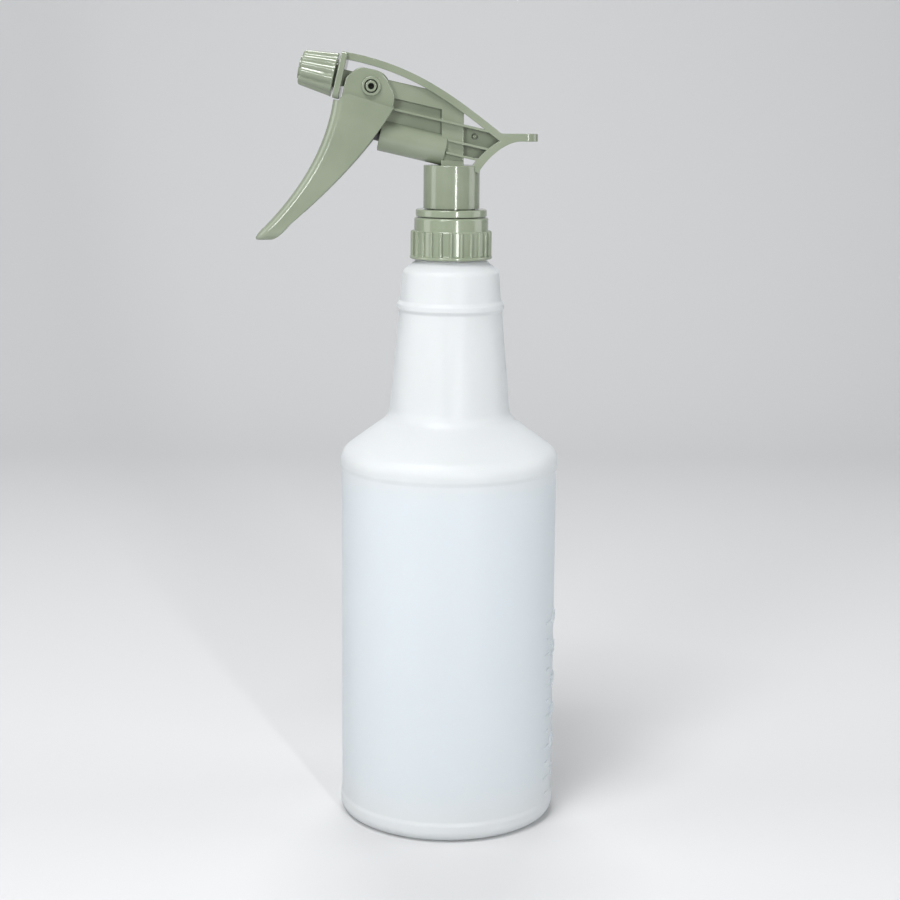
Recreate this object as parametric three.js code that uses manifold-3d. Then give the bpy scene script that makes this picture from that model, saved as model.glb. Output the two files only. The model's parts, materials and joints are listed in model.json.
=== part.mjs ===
// Trigger spray bottle: a round blow-moulded bottle with a screwed-on trigger sprayer.
// Millimetres, +Z up. The bottle stands on z = 0 and every piece is its own closed solid.
// Heights are measured up the neck axis. The sprayer's spray line is tilted, so its pieces are
// built along that line (local +X runs back from the nozzle) and turned into place together.

import * as THREE from "three";
import { mergeVertices } from "three/addons/utils/BufferGeometryUtils.js";
import Module from "manifold-3d";

const wasm = await Module();
wasm.setup();

// ---------------------------------------------------------------- driving dimensions

const GAP = 0.3; // between pieces that touch
const SLIP = 0.4; // between pieces that turn or slide in each other
const SINK = 0.5; // how far the features of one moulding run into each other
const PAST = 1; // how far a cutter runs past what it cuts
const DEG = Math.PI / 180;

const bottle = {
  bodyRadius: 43.7,
  wall: 1.2,
  beadProud: 0.45, // the heel and shoulder beads stand this far off the wall
  heelRadius: 4.5,
  heelBeadTop: 7,
  beadBlend: 2, // height in which a bead runs into the wall
  pushUp: 4, // rise of the base's middle over the ring it stands on
  standRing: 6.7, // that ring's inner edge, in from the wall
  shoulderZ: 148.4,
  shoulderBead: 2, // the shoulder bead starts this far below the shoulder
  shoulderRadius: 7,
  shoulderSlope: 36.5, // degrees above level
  neckRootRadius: 24.45,
  neckFillet: 7,
  neckLength: 58.6,
  neckTopInset: 5.15, // how much narrower the neck is at its top than at its root
  neckTopFillet: 3,
  ringBelowTop: 14,
  ringHeight: 4.2,
  ringProud: 0.85,
  ringBlend: 0.9,
  collarSlope: 38, // degrees above level, the cone that runs in under the collar
  finishHeight: 10.8, // the threaded part, lip included
  finishWall: 1.7,
};

const neckThread = {
  pitch: 4.233,
  rootRadius: 12.5,
  depth: 1.2,
  rootHalf: 1.15,
  crestHalf: 0.5,
  turns: 1.35,
  collarTurns: 1.0,
  belowLip: 2.6, // the highest turn's middle, below the lip
};

const collar = {
  height: 16.4,
  top: 1.5,
  wall: 1.2,
  bandInset: 0.4, // the plain band stands in from the ribs' roots by this
  bandHeight: 5.6,
  ribs: 24,
  ribWidth: 1.15,
  ribProud: 1.0,
  ribBottom: 0.5,
  rimProud: 1.3,
  rimHeight: 1.1,
};

const gasket = { thickness: 1.0, width: 4.5 };

const tube = {
  outer: 3.0,
  inner: 2.1,
  lean: 6.3, // how far its foot has set forward, and then to one side
  leanForward: 3.5,
  straight: 6, // the bend starts this far below the retainer
  clearBase: 4,
};
const inletBall = { radius: 2.38, lift: 1.3 };

const retainer = {
  sealFlange: 1.6,
  sealInset: 0.7, // the seal flange's edge, in from the neck thread's root
  sealStep: 2.8, // the shank is narrower than the seal flange by this
  flangeInset: 0.6, // the outer flange's edge, in from the collar's band
  flangeHeight: 2.9,
  flangeEdge: 0.3,
  plugHeight: 8.0,
  wall: 1.4,
  stemBelowLip: 8.3,
  floorHeight: 0.5, // the annular well's floor, below the flange's underside
  seatRadius: 1.4,
  seatHeight: 1.4,
  chamberRoom: 1.0, // round the inlet ball
  chamberTop: 7.4, // above the flange's top
  tubeStop: 0.3, // where the dip tube stops, above the flange's underside
};

const skirt = { radius: 11.2, wall: 1.5, height: 17.0, deck: 1.8 };
const riser = { left: 4.1, right: 4.6, halfDepth: 4.5, bore: 1.5, footProud: 0.4, footHeight: 2 };

const pump = {
  drop: 18.6, // below the spray line
  bore: 4.9,
  wall: 1.4,
  depth: 25.3,
  endWall: 1.4,
  shortOfNeck: 2.4, // its closed end stops this far short of the neck axis
  portRadius: 1.2,
};

const head = {
  reach: 45.2, // neck axis to the front plate's front, along the level
  tilt: 12.5, // degrees that the spray line climbs towards the nozzle
  lift: 54.6, // spray line at the front plate, above the flange's underside
  plateThick: 2.5,
  plateTop: 9.3,
  plateBottom: 8.8,
  plateCorner: 2,
  plateTopCorner: 1.5,
  plateProud: 0.6, // each side, past the trigger's ears
  archThick: 2.8,
  archRise: 0.2, // its front end, above the front plate
  archSag: 0.6, // its rear end, below the tail's top
  archFrontPull: 0.47, // how strongly each end holds its direction, as a share of the span
  archRearPull: 0.35,
  archStartDown: 9, // degrees below level at the arch's two ends
  archEndDown: 37,
  tailLength: 33.9, // neck axis to the tail's end
  tailTop: 32.7, // above the flange's underside
  tailThick: 3.0,
  tailStart: 19.6,
  tailRoot: 4.5, // how far the tail's board starts ahead of the arch's end
  tailCorner: 4.5,
  strutThick: 2.5,
  strutTop: 6, // behind the arch's end
  strutElbow: [-0.5, -0.4], // from the arch's end and the tail's underside
  strutFootDrop: 2.6, // below the deck
  barrelTop: 2.9, // above and below the spray line
  barrelBottom: 3.6,
  barrelBore: 1.5,
  webHalfThick: 2.3,
  webSetBack: 1, // behind the pump's open end
  rearWebHalfThick: 1.5,
  finThick: 0.75,
  finProud: 0.1, // each side, past the pump
};

// Fins run along the tilt. A drop is below the spray line, and `from` is an x in the upright frame.
const topFin = { drop: 7.7, fromAlong: 19, shortOfTail: 5 };
const middleFin = { drop: 14.5, from: -1.5, pastSkirt: 2.5 };
const lowFin = { drop: 19.4, from: -2.2, shortOfSkirt: 0.6 };
const plug = { radius: 1.1, x: 8.9, overFin: 1.7, proud: 0.3 };

const pivot = { along: 14.1, drop: 1.0, postRadius: 2.2, postBore: 1.3, postDepth: 3.5, postProud: 0.7 };

const trigger = {
  earThick: 1.7,
  bossWall: 1.3,
  bossProud: 0.5,
  topRoom: 1.3, // inside the lever, each side of the pump
  tipInset: 2.2, // how much narrower each side is at the tip
  wall: 1.8,
  corner: 4.4,
  barRadius: 1.6,
  barAlong: 11.5,
  // Side outlines as (along, up) in the tilted frame. An edge is two ends and the point that its
  // curve is pulled towards, and the other lists are corners, each with its radius.
  frontEdge: [[0.6, -9.7], [3.2, -37], [-17.2, -66.6]],
  rearEdge: [[23.7, -6.6], [15.5, -33], [-8.4, -64.6]],
  tipFrom: 0.93, // where the closed tip starts, as a share of the edges
  tipThinner: 0.05,
  tip: [[-8.9, -66.1, 2], [-14.0, -70.2, 3.5], [-18.4, -68.4, 2]],
  earFront: [[-20, 0], [-12, 0], [-1.5, 3]], // height and radius of the corners beside the plate
  ear: [[7.2, 5.6, 5], [18.0, 5.2, 6], [24.4, -3.5, 6], [23.7, -14.5, 5], [17.5, -22, 0]],
};

const piston = {
  buttonRadius: 3.6,
  button: 1.6,
  rodRadius: 2.6,
  headFromFront: 4.7, // the piston head's face, in from the pump's open end
  headThick: 1.5,
  spigotRadius: 1.6,
  spigot: 5.5,
  cupThick: 2.7,
  cupWeb: 1.2,
  cupLip: 0.7,
  cupSlope: 0.4,
  lipTaper: 0.3, // how much smaller a seal is at its root than at its lip
  wiperThick: 1.1,
};

const guide = { inset: 1.5 }; // it leaves the button room at full stroke, and fills up to the wiper
const returnSpring = { wire: 0.7, room: 1.3, turns: 7 };

const spigot = { length: 11, rootRadius: 5.2, bore: 3.6 };
const nozzleThread = {
  pitch: 2.0,
  depth: 0.7,
  rootHalf: 0.5,
  crestHalf: 0.22,
  turns: 3,
  capTurns: 2,
  firstAt: 2.4,
};
const nozzle = {
  gapToPlate: 1.0,
  length: 13.7,
  rearRadius: 8.7,
  frontRadius: 6.9,
  rearBand: 1.0,
  flutes: 12,
  fluteDepth: 0.55,
  frontEdge: 0.5,
  frontWall: 1.5,
  orifice: 0.4,
  faceRadius: 4.6,
  faceStep: 0.6,
};
const seal = { section: 0.55, inset: 0.3, insideSpigot: 0.4 };
const spinner = { length: 3.0, backFromEnd: 0.5, groove: 0.8 };
const outlet = {
  seatThick: 1.6,
  seatBore: 1.0,
  seatChamfer: 0.6,
  seatTouch: 0.5, // where the ball bears on the chamfer, out from the bore
  ballRadius: 1.59,
  springRadius: 1.3,
  springWire: 0.35,
  springRoom: 0.1, // between the ball and the spring's first turn
  turns: 4,
};

// ---------------------------------------------------------------- worked-out places

const beadRadius = bottle.bodyRadius + bottle.beadProud;
const shoulderTan = Math.tan(bottle.shoulderSlope * DEG);
const shoulderCornerZ =
  bottle.shoulderZ + bottle.shoulderRadius * Math.tan(((90 - bottle.shoulderSlope) / 2) * DEG);
const neckRootZ = shoulderCornerZ + (beadRadius - bottle.neckRootRadius) * shoulderTan;
const neckTopZ = neckRootZ + bottle.neckLength;
const neckTopRadius = bottle.neckRootRadius - bottle.neckTopInset;
const collarTan = Math.tan(bottle.collarSlope * DEG);
const finishZ = neckTopZ + (neckTopRadius - neckThread.rootRadius) * collarTan;
const lipZ = finishZ + bottle.finishHeight;
const threadCrest = neckThread.rootRadius + neckThread.depth;
const threadStartZ = lipZ - neckThread.belowLip - neckThread.pitch * neckThread.turns;

const gasketZ = lipZ + GAP;
const sealZ = gasketZ + gasket.thickness + GAP;
const ceilingZ = sealZ + retainer.sealFlange + SLIP;
const collarTopZ = ceilingZ + collar.top;
const collarZ = collarTopZ - collar.height;
const flangeZ = collarTopZ + GAP;
const skirtZ = flangeZ + retainer.flangeHeight + GAP;
const deckTopZ = skirtZ + skirt.height;
const sprayZ = flangeZ + head.lift;
const tailTopZ = flangeZ + head.tailTop;

const collarBore = threadCrest + GAP;
const ribRoot = collarBore + collar.wall;
const bandRadius = ribRoot - collar.bandInset;
const sealRadius = neckThread.rootRadius - retainer.sealInset;
const shankRadius = sealRadius - retainer.sealStep;
const chamberRadius = inletBall.radius + retainer.chamberRoom;

// Across the head, from the middle outwards.
const pumpRadius = pump.bore + pump.wall;
const finHalfWidth = pumpRadius + head.finProud;
const earInner = finHalfWidth + GAP;
const earOuter = earInner + trigger.earThick;
const postEnd = earOuter + pivot.postProud;
const plateHalfWidth = earOuter + head.plateProud;
const leverHalfWidth = pumpRadius + trigger.topRoom + trigger.wall;
const tipHalfWidth = leverHalfWidth - trigger.tipInset;

// Along the spray line, from the front plate: the pump hangs from the riser at the neck axis.
const tiltCos = Math.cos(head.tilt * DEG);
const tiltTan = Math.tan(head.tilt * DEG);
const neckAlong = head.reach / tiltCos;
const pumpBack = neckAlong + pump.drop * tiltTan - pump.shortOfNeck;
const pumpFront = pumpBack - pump.endWall - pump.depth;
const pistonHeadAt = pumpFront + piston.headFromFront;
const pistonButtonAt = trigger.barAlong + trigger.barRadius + GAP;

// The sprayer's tilted frame: local +X runs back and down the spray line, local +Z is square to it.
const tilted = new THREE.Matrix4()
  .makeRotationY(head.tilt * DEG)
  .setPosition(-head.reach, 0, sprayZ);

// A tilted (along, up) pair as [x, z] in the upright frame.
function level(along, up) {
  const point = new THREE.Vector3(along, 0, up).applyMatrix4(tilted);
  return [point.x, point.z];
}

// ---------------------------------------------------------------- solids: joins and cuts

function toSolid(geometry) {
  const plain = geometry.index ? geometry.toNonIndexed() : geometry.clone();
  plain.deleteAttribute("normal");
  plain.deleteAttribute("uv");
  const merged = mergeVertices(plain, 1e-4);
  return new wasm.Manifold(
    new wasm.Mesh({
      numProp: 3,
      vertProperties: merged.attributes.position.array,
      triVerts: new Uint32Array(merged.index.array),
    }),
  );
}

function toGeometry(solid) {
  const mesh = solid.getMesh();
  const geometry = new THREE.BufferGeometry();
  geometry.setAttribute("position", new THREE.BufferAttribute(mesh.vertProperties, 3));
  geometry.setIndex(new THREE.BufferAttribute(mesh.triVerts, 1));
  geometry.computeVertexNormals();
  return geometry;
}

function join(...geometries) {
  return toGeometry(geometries.map(toSolid).reduce((whole, next) => whole.add(next)));
}

function cut(geometry, ...tools) {
  return toGeometry(tools.map(toSolid).reduce((rest, tool) => rest.subtract(tool), toSolid(geometry)));
}

// ---------------------------------------------------------------- outlines

// Corner lists are [x, y, radius]: a corner with a radius becomes an arc, in steps of about `step`.
function rounded(corners, { closed = false, step = 30 } = {}) {
  const points = [];
  corners.forEach(([x, y, radius = 0], index) => {
    const ends = index === 0 || index === corners.length - 1;
    if (!radius || (ends && !closed)) {
      points.push(new THREE.Vector2(x, y));
      return;
    }
    const here = new THREE.Vector2(x, y);
    const before = corners.at(index - 1);
    const after = corners[(index + 1) % corners.length];
    const back = new THREE.Vector2(before[0], before[1]).sub(here);
    const on = new THREE.Vector2(after[0], after[1]).sub(here);
    const room = Math.min(back.length(), on.length()) * 0.49;
    back.normalize();
    on.normalize();
    const turn = Math.PI - back.angleTo(on);
    if (turn < 1e-3) {
      points.push(here);
      return;
    }
    const reach = Math.min(radius * Math.tan(turn / 2), room);
    const arcRadius = reach / Math.tan(turn / 2);
    const start = here.clone().addScaledVector(back, reach);
    const middle = back.clone().add(on).normalize();
    const centre = here.clone().addScaledVector(middle, Math.hypot(reach, arcRadius));
    const side = Math.sign(back.cross(on)) || 1;
    const steps = Math.max(1, Math.ceil(turn / (step * DEG) - 0.2));
    for (let i = 0; i <= steps; i++) {
      points.push(start.clone().rotateAround(centre, (-side * turn * i) / steps));
    }
  });
  return points;
}

// The corner list moved sideways by `distance` to the left of its direction, radii kept concentric.
function offset(corners, distance) {
  const at = (i) => new THREE.Vector2(corners[i][0], corners[i][1]);
  const normals = corners.slice(1).map((_, i) => {
    const along = at(i + 1).sub(at(i)).normalize();
    return new THREE.Vector2(-along.y, along.x);
  });
  return corners.map(([x, y, radius = 0], i) => {
    const before = normals[Math.max(i - 1, 0)];
    const after = normals[Math.min(i, normals.length - 1)];
    const middle = before.clone().add(after);
    middle.multiplyScalar(distance / (1 + before.dot(after)));
    const turnsLeft = before.cross(after) > 0;
    return [x + middle.x, y + middle.y, Math.max(0, radius + (turnsLeft ? -distance : distance))];
  });
}

// ---------------------------------------------------------------- basic shapes

// A profile of [radius, height] turned about +Z.
function turned(points, segments) {
  return new THREE.LatheGeometry(points, segments).rotateX(Math.PI / 2);
}

// A plain profile without round corners, closed on itself.
function ring(corners, segments) {
  const points = corners.map(([x, y]) => new THREE.Vector2(x, y));
  return turned([...points, points[0].clone()], segments);
}

// An outline in X-Z given thickness across Y.
function slab(points, from, to) {
  const depth = to - from;
  return new THREE.ExtrudeGeometry(new THREE.Shape(points), { depth, bevelEnabled: false })
    .rotateX(Math.PI / 2)
    .translate(0, to, 0);
}

function plate(points, halfWidth) {
  return slab(points, -halfWidth, halfWidth);
}

function block(x0, x1, y0, y1, z0, z1) {
  return new THREE.BoxGeometry(x1 - x0, y1 - y0, z1 - z0)
    .translate((x0 + x1) / 2, (y0 + y1) / 2, (z0 + z1) / 2);
}

// A round bar along local +X, from x0 to x1, at height z.
function barAlong(radius, x0, x1, z, segments = 24) {
  return new THREE.CylinderGeometry(radius, radius, x1 - x0, segments)
    .rotateZ(Math.PI / 2)
    .translate((x0 + x1) / 2, 0, z);
}

// A round bar along Y.
function barAcross(radius, y0, y1, x, z, segments = 20) {
  return new THREE.CylinderGeometry(radius, radius, y1 - y0, segments).translate(x, (y0 + y1) / 2, z);
}

function barUp(radius, z0, z1, segments = 20) {
  return new THREE.CylinderGeometry(radius, radius, z1 - z0, segments)
    .rotateX(Math.PI / 2)
    .translate(0, 0, (z0 + z1) / 2);
}

// A profile turned about +Z, laid down so that its height runs along local +X.
function turnedAlong(points, segments) {
  return turned(points, segments).rotateY(Math.PI / 2);
}

// One helical rib about +Z. It starts inside its wall and fades in and out at its ends.
function threadRib({ root, crest, rootHalf, crestHalf, pitch, turns, start, phase = 0 }) {
  const stepsPerTurn = 24;
  const fadeSteps = 3;
  const embed = 0.25;
  const outward = Math.sign(crest - root);
  const steps = Math.round(turns * stepsPerTurn);
  const positions = [];
  for (let i = 0; i <= steps; i++) {
    const angle = phase + (i * 2 * Math.PI) / stepsPerTurn;
    const z = start + (pitch * i) / stepsPerTurn;
    const fade = Math.min(1, (Math.min(i, steps - i) + 0.3) / fadeSteps);
    const section = [
      [root - outward * embed, -rootHalf],
      [root + (crest - root) * fade, -crestHalf],
      [root + (crest - root) * fade, crestHalf],
      [root - outward * embed, rootHalf],
    ];
    section.forEach(([r, dz]) => positions.push(r * Math.cos(angle), r * Math.sin(angle), z + dz));
  }
  const indices = [];
  const quad = (a, b, c, d) => indices.push(a, b, c, a, c, d);
  for (let i = 0; i < steps; i++) {
    for (let k = 0; k < 4; k++) {
      const a = 4 * i + k;
      const b = 4 * i + ((k + 1) % 4);
      quad(a, a + 4, b + 4, b);
    }
  }
  quad(0, 1, 2, 3);
  quad(4 * steps + 3, 4 * steps + 2, 4 * steps + 1, 4 * steps);
  if (outward < 0) indices.reverse();
  const geometry = new THREE.BufferGeometry();
  geometry.setAttribute("position", new THREE.Float32BufferAttribute(positions, 3));
  geometry.setIndex(indices);
  return geometry;
}

// A round section carried along a curve.
function swept(radius, sides, steps, extrudePath) {
  const corners = Array.from({ length: sides }, (_, i) => (2 * Math.PI * i) / sides);
  const section = corners.map((a) => new THREE.Vector2(radius * Math.cos(a), radius * Math.sin(a)));
  return new THREE.ExtrudeGeometry(new THREE.Shape(section), { steps, bevelEnabled: false, extrudePath });
}

class Helix extends THREE.Curve {
  constructor(radius, turns, start, length) {
    super();
    Object.assign(this, { radius, turns, start, length });
  }
  getPoint(t, target = new THREE.Vector3()) {
    const angle = 2 * Math.PI * this.turns * t;
    const x = this.start + this.length * t;
    return target.set(x, this.radius * Math.cos(angle), this.radius * Math.sin(angle));
  }
}

// A coil spring along local +X.
function coil(radius, wire, turns, start, length, sides, stepsPerTurn) {
  return swept(wire / 2, sides, Math.round(turns * stepsPerTurn), new Helix(radius, turns, start, length));
}

// ---------------------------------------------------------------- bottle

function makeBottle() {
  const b = bottle;
  const wallZ = b.heelBeadTop + b.beadBlend;
  const beadZ = b.shoulderZ - b.shoulderBead;
  const ringZ = neckTopZ - b.ringBelowTop;
  const lean = b.neckTopInset / b.neckLength;
  const neckRadius = (z) => neckTopRadius + (neckTopZ - z) * lean;
  const ringLow = ringZ - b.ringHeight / 2;
  const ringHigh = ringZ + b.ringHeight / 2;
  const ringRadius = neckRadius(ringZ) + b.ringProud;
  const ringFoot = b.bodyRadius - b.standRing;
  const outside = [
    [0, b.pushUp],
    [ringFoot - 4, b.pushUp * 0.8],
    [ringFoot, 0],
    [beadRadius, 0, b.heelRadius],
    [beadRadius, b.heelBeadTop],
    [b.bodyRadius, wallZ],
    [b.bodyRadius, beadZ - b.beadBlend],
    [beadRadius, beadZ],
    [beadRadius, shoulderCornerZ, b.shoulderRadius],
    [b.neckRootRadius, neckRootZ, b.neckFillet],
    [neckRadius(ringLow), ringLow],
    [ringRadius, ringLow + b.ringBlend],
    [ringRadius, ringHigh - b.ringBlend],
    [neckRadius(ringHigh), ringHigh],
    [neckTopRadius, neckTopZ, b.neckTopFillet],
    [neckThread.rootRadius, finishZ],
  ];
  const inside = offset([...outside, [neckThread.rootRadius, lipZ]], b.wall).slice(0, -2).reverse();
  inside.at(-1)[0] = 0;
  const boreRadius = neckThread.rootRadius - b.finishWall;
  const [coneRadius, coneZ] = inside[0];
  const boreZ = coneZ + (coneRadius - boreRadius) * collarTan;
  const lip = [
    [neckThread.rootRadius, lipZ],
    [boreRadius, lipZ],
    [boreRadius, boreZ],
  ];
  const thread = threadRib({
    root: neckThread.rootRadius,
    crest: threadCrest,
    rootHalf: neckThread.rootHalf,
    crestHalf: neckThread.crestHalf,
    pitch: neckThread.pitch,
    turns: neckThread.turns,
    start: threadStartZ,
  });
  return join(turned(rounded([...outside, ...lip, ...inside]), 32), thread);
}

// ---------------------------------------------------------------- closure: collar and gasket

function makeCollar() {
  const c = collar;
  const well = sealRadius + SLIP;
  const bandZ = collarTopZ - c.bandHeight;
  const rim = collarBore + c.wall + c.rimProud;
  const neckHole = shankRadius + SLIP;
  const shell = rounded([
    [rim, collarZ],
    [rim, collarZ + c.rimHeight],
    [ribRoot, collarZ + c.rimHeight],
    [ribRoot, bandZ],
    [bandRadius, bandZ],
    [bandRadius, collarTopZ - 0.5],
    [bandRadius - 0.5, collarTopZ],
    [neckHole, collarTopZ],
    [neckHole, ceilingZ],
    [well, ceilingZ],
    [well, lipZ + 1],
    [collarBore, lipZ - GAP],
    [collarBore, collarZ],
    [rim, collarZ],
  ]);
  const ribs = Array.from({ length: c.ribs }, (_, i) =>
    block(
      ribRoot - 0.4,
      ribRoot + c.ribProud,
      -c.ribWidth / 2,
      c.ribWidth / 2,
      collarZ + c.ribBottom,
      bandZ,
    ).rotateZ((2 * Math.PI * i) / c.ribs),
  );
  // The collar's rib starts a quarter turn on and lies half a pitch below the bottle's.
  const thread = threadRib({
    root: collarBore,
    crest: neckThread.rootRadius + GAP,
    rootHalf: neckThread.rootHalf,
    crestHalf: neckThread.crestHalf,
    pitch: neckThread.pitch,
    turns: neckThread.collarTurns,
    start: threadStartZ - neckThread.pitch / 4,
    phase: Math.PI / 2,
  });
  return join(turned(shell, 48), thread, ...ribs);
}

function makeGasket() {
  const outer = sealRadius - GAP;
  const inner = outer - gasket.width;
  return ring(
    [
      [inner, gasketZ],
      [outer, gasketZ],
      [outer, gasketZ + gasket.thickness],
      [inner, gasketZ + gasket.thickness],
    ],
    32,
  );
}

// ---------------------------------------------------------------- intake: retainer, ball, tube

const tubeStopZ = flangeZ + retainer.tubeStop;
const seatTopZ = tubeStopZ + retainer.seatHeight;
const coneHeight = chamberRadius - retainer.seatRadius;
const stemBottomZ = lipZ - retainer.stemBelowLip;
const chamberTopZ = flangeZ + retainer.flangeHeight + retainer.chamberTop;
// The seat is a 45 degree cone, and the ball is clear of it by GAP.
const ballZ = seatTopZ + (inletBall.radius + GAP) * Math.SQRT2 - retainer.seatRadius;

function makeRetainer() {
  const r = retainer;
  const flangeTop = flangeZ + r.flangeHeight;
  const flangeRadius = bandRadius - r.flangeInset;
  const plugRadius = skirt.radius - skirt.wall - GAP;
  const plugTop = flangeTop + r.plugHeight;
  const wellFloor = flangeZ - r.floorHeight;
  const socket = tube.outer + GAP;
  return ring(
    [
      [socket + r.wall, stemBottomZ],
      [socket + r.wall, sealZ],
      [sealRadius, sealZ],
      [sealRadius, sealZ + r.sealFlange],
      [shankRadius, sealZ + r.sealFlange],
      [shankRadius, flangeZ],
      [flangeRadius - r.flangeEdge, flangeZ],
      [flangeRadius, flangeZ + r.flangeEdge],
      [flangeRadius, flangeTop - r.flangeEdge],
      [flangeRadius - r.flangeEdge, flangeTop],
      [plugRadius, flangeTop],
      [plugRadius, plugTop],
      [plugRadius - r.wall, plugTop],
      [plugRadius - r.wall, wellFloor],
      [chamberRadius + r.wall, wellFloor],
      [chamberRadius + r.wall, chamberTopZ],
      [chamberRadius, chamberTopZ],
      [chamberRadius, seatTopZ + coneHeight],
      [r.seatRadius, seatTopZ],
      [r.seatRadius, tubeStopZ],
      [socket, tubeStopZ],
      [socket, stemBottomZ],
    ],
    24,
  );
}

function makeInletBall() {
  return new THREE.SphereGeometry(inletBall.radius, 14, 8).translate(0, 0, ballZ);
}

// The tube's middle line: straight out of the retainer, then a gentle set to one side.
// `beyond` runs it on past both ends, for the drill.
function tubeRoute(beyond) {
  const top = tubeStopZ - GAP;
  const bottom = bottle.pushUp + bottle.wall + tube.clearBase;
  const bendFrom = stemBottomZ - tube.straight;
  const third = (bendFrom - bottom) / 3;
  const bend = new THREE.CubicBezierCurve3(
    new THREE.Vector3(0, 0, bendFrom),
    new THREE.Vector3(0, 0, bendFrom - third),
    new THREE.Vector3(-tube.lean * 0.5, -tube.leanForward * 0.5, bottom + third),
    new THREE.Vector3(-tube.lean, -tube.leanForward, bottom),
  );
  const route = new THREE.CurvePath();
  route.add(new THREE.LineCurve3(new THREE.Vector3(0, 0, top + beyond), bend.v0));
  route.add(bend);
  if (beyond > 0) {
    const past = bend.v3.clone().addScaledVector(bend.getTangent(1), beyond);
    route.add(new THREE.LineCurve3(bend.v3, past));
  }
  return route;
}

function makeDipTube() {
  const along = (radius, beyond) => swept(radius, 12, 14, tubeRoute(beyond));
  return cut(along(tube.outer, 0), along(tube.inner, 2));
}

// ---------------------------------------------------------------- sprayer body

// Outer edge of the arch, from the front plate's top to the tail, as [x, z] in the upright frame.
function archCurve() {
  const start = new THREE.Vector2(...level(0, head.plateTop + head.archRise));
  const end = new THREE.Vector2(head.tailStart, tailTopZ - head.archSag);
  const span = end.x - start.x;
  const down = (degrees, length) =>
    new THREE.Vector2(Math.cos(degrees * DEG), -Math.sin(degrees * DEG)).multiplyScalar(length);
  return new THREE.CubicBezierCurve(
    start,
    start.clone().add(down(head.archStartDown, span * head.archFrontPull)),
    end.clone().sub(down(head.archEndDown, span * head.archRearPull)),
    end,
  );
}

// Points of a curve moved sideways (to the right of its direction) by `distance`.
function beside(curve, distance, count, from = 0, to = 1) {
  return Array.from({ length: count + 1 }, (_, i) => {
    const t = from + ((to - from) * i) / count;
    const along = curve.getTangent(t);
    return curve.getPoint(t).add(new THREE.Vector2(along.y, -along.x).multiplyScalar(distance));
  });
}

// Height of the arch's middle line at x.
function archMiddle(x) {
  const points = beside(archCurve(), head.archThick / 2, 40);
  const next = points.findIndex((p) => p.x >= x);
  const [a, b] = [points[next - 1], points[next]];
  return a.y + ((b.y - a.y) * (x - a.x)) / (b.x - a.x);
}

function makeArch() {
  const outer = beside(archCurve(), 0, 14);
  const inner = beside(archCurve(), head.archThick, 14).reverse();
  return plate([...outer, ...inner], finHalfWidth);
}

function makeTail() {
  const h = head;
  const flat = new THREE.Shape(
    rounded([
      [h.tailStart - h.tailRoot, -finHalfWidth],
      [h.tailLength, -finHalfWidth, h.tailCorner],
      [h.tailLength, finHalfWidth, h.tailCorner],
      [h.tailStart - h.tailRoot, finHalfWidth],
    ]),
  );
  const board = new THREE.ExtrudeGeometry(flat, { depth: h.tailThick, bevelEnabled: false })
    .translate(0, 0, tailTopZ - h.tailThick);
  // The board's front end is cut back to the arch's slope.
  const { x, y } = archCurve().getPoint(1);
  const clear = h.tailThick * 10;
  const [edgeX, edgeZ] = [x + 0.2, y + 0.4];
  const above = [
    [x - clear, y + clear * Math.tan(h.archEndDown * DEG)],
    [edgeX, edgeZ],
    [edgeX, y + clear],
    [x - clear, y + clear],
  ].map(([px, pz]) => new THREE.Vector2(px, pz));
  return cut(board, plate(above, finHalfWidth + PAST));
}

// The strut that sweeps from the tail's underside down to the skirt.
function strutCurve() {
  const h = head;
  const tailFootZ = tailTopZ - h.tailThick;
  const top = new THREE.Vector2(h.tailStart + h.strutTop, tailFootZ + SINK);
  const foot = new THREE.Vector2(skirt.radius - SINK, deckTopZ - h.strutFootDrop);
  const elbow = new THREE.Vector2(h.tailStart + h.strutElbow[0], tailFootZ + h.strutElbow[1]);
  return new THREE.QuadraticBezierCurve(top, elbow, foot);
}

function makeStrut() {
  const outer = beside(strutCurve(), 0, 8);
  const inner = beside(strutCurve(), head.strutThick, 8).reverse();
  return plate([...outer, ...inner], finHalfWidth);
}

// A flat fin along the tilt, between two x places in the upright frame.
function fin(drop, fromX, toX) {
  const half = head.finThick / 2 / tiltCos;
  const atNeck = finAtNeck(drop);
  const at = (x, side) => new THREE.Vector2(x, atNeck - x * tiltTan + side * half);
  return plate([at(fromX, -1), at(toX, -1), at(toX, 1), at(fromX, 1)], finHalfWidth);
}

// Height at which a line `drop` below the spray line crosses the neck axis.
function finAtNeck(drop) {
  return sprayZ - head.reach * tiltTan - drop / tiltCos;
}

const plugHole = plug.radius + GAP;
const plugPlace = [plug.x, finAtNeck(middleFin.drop) + plug.overFin];

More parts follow.
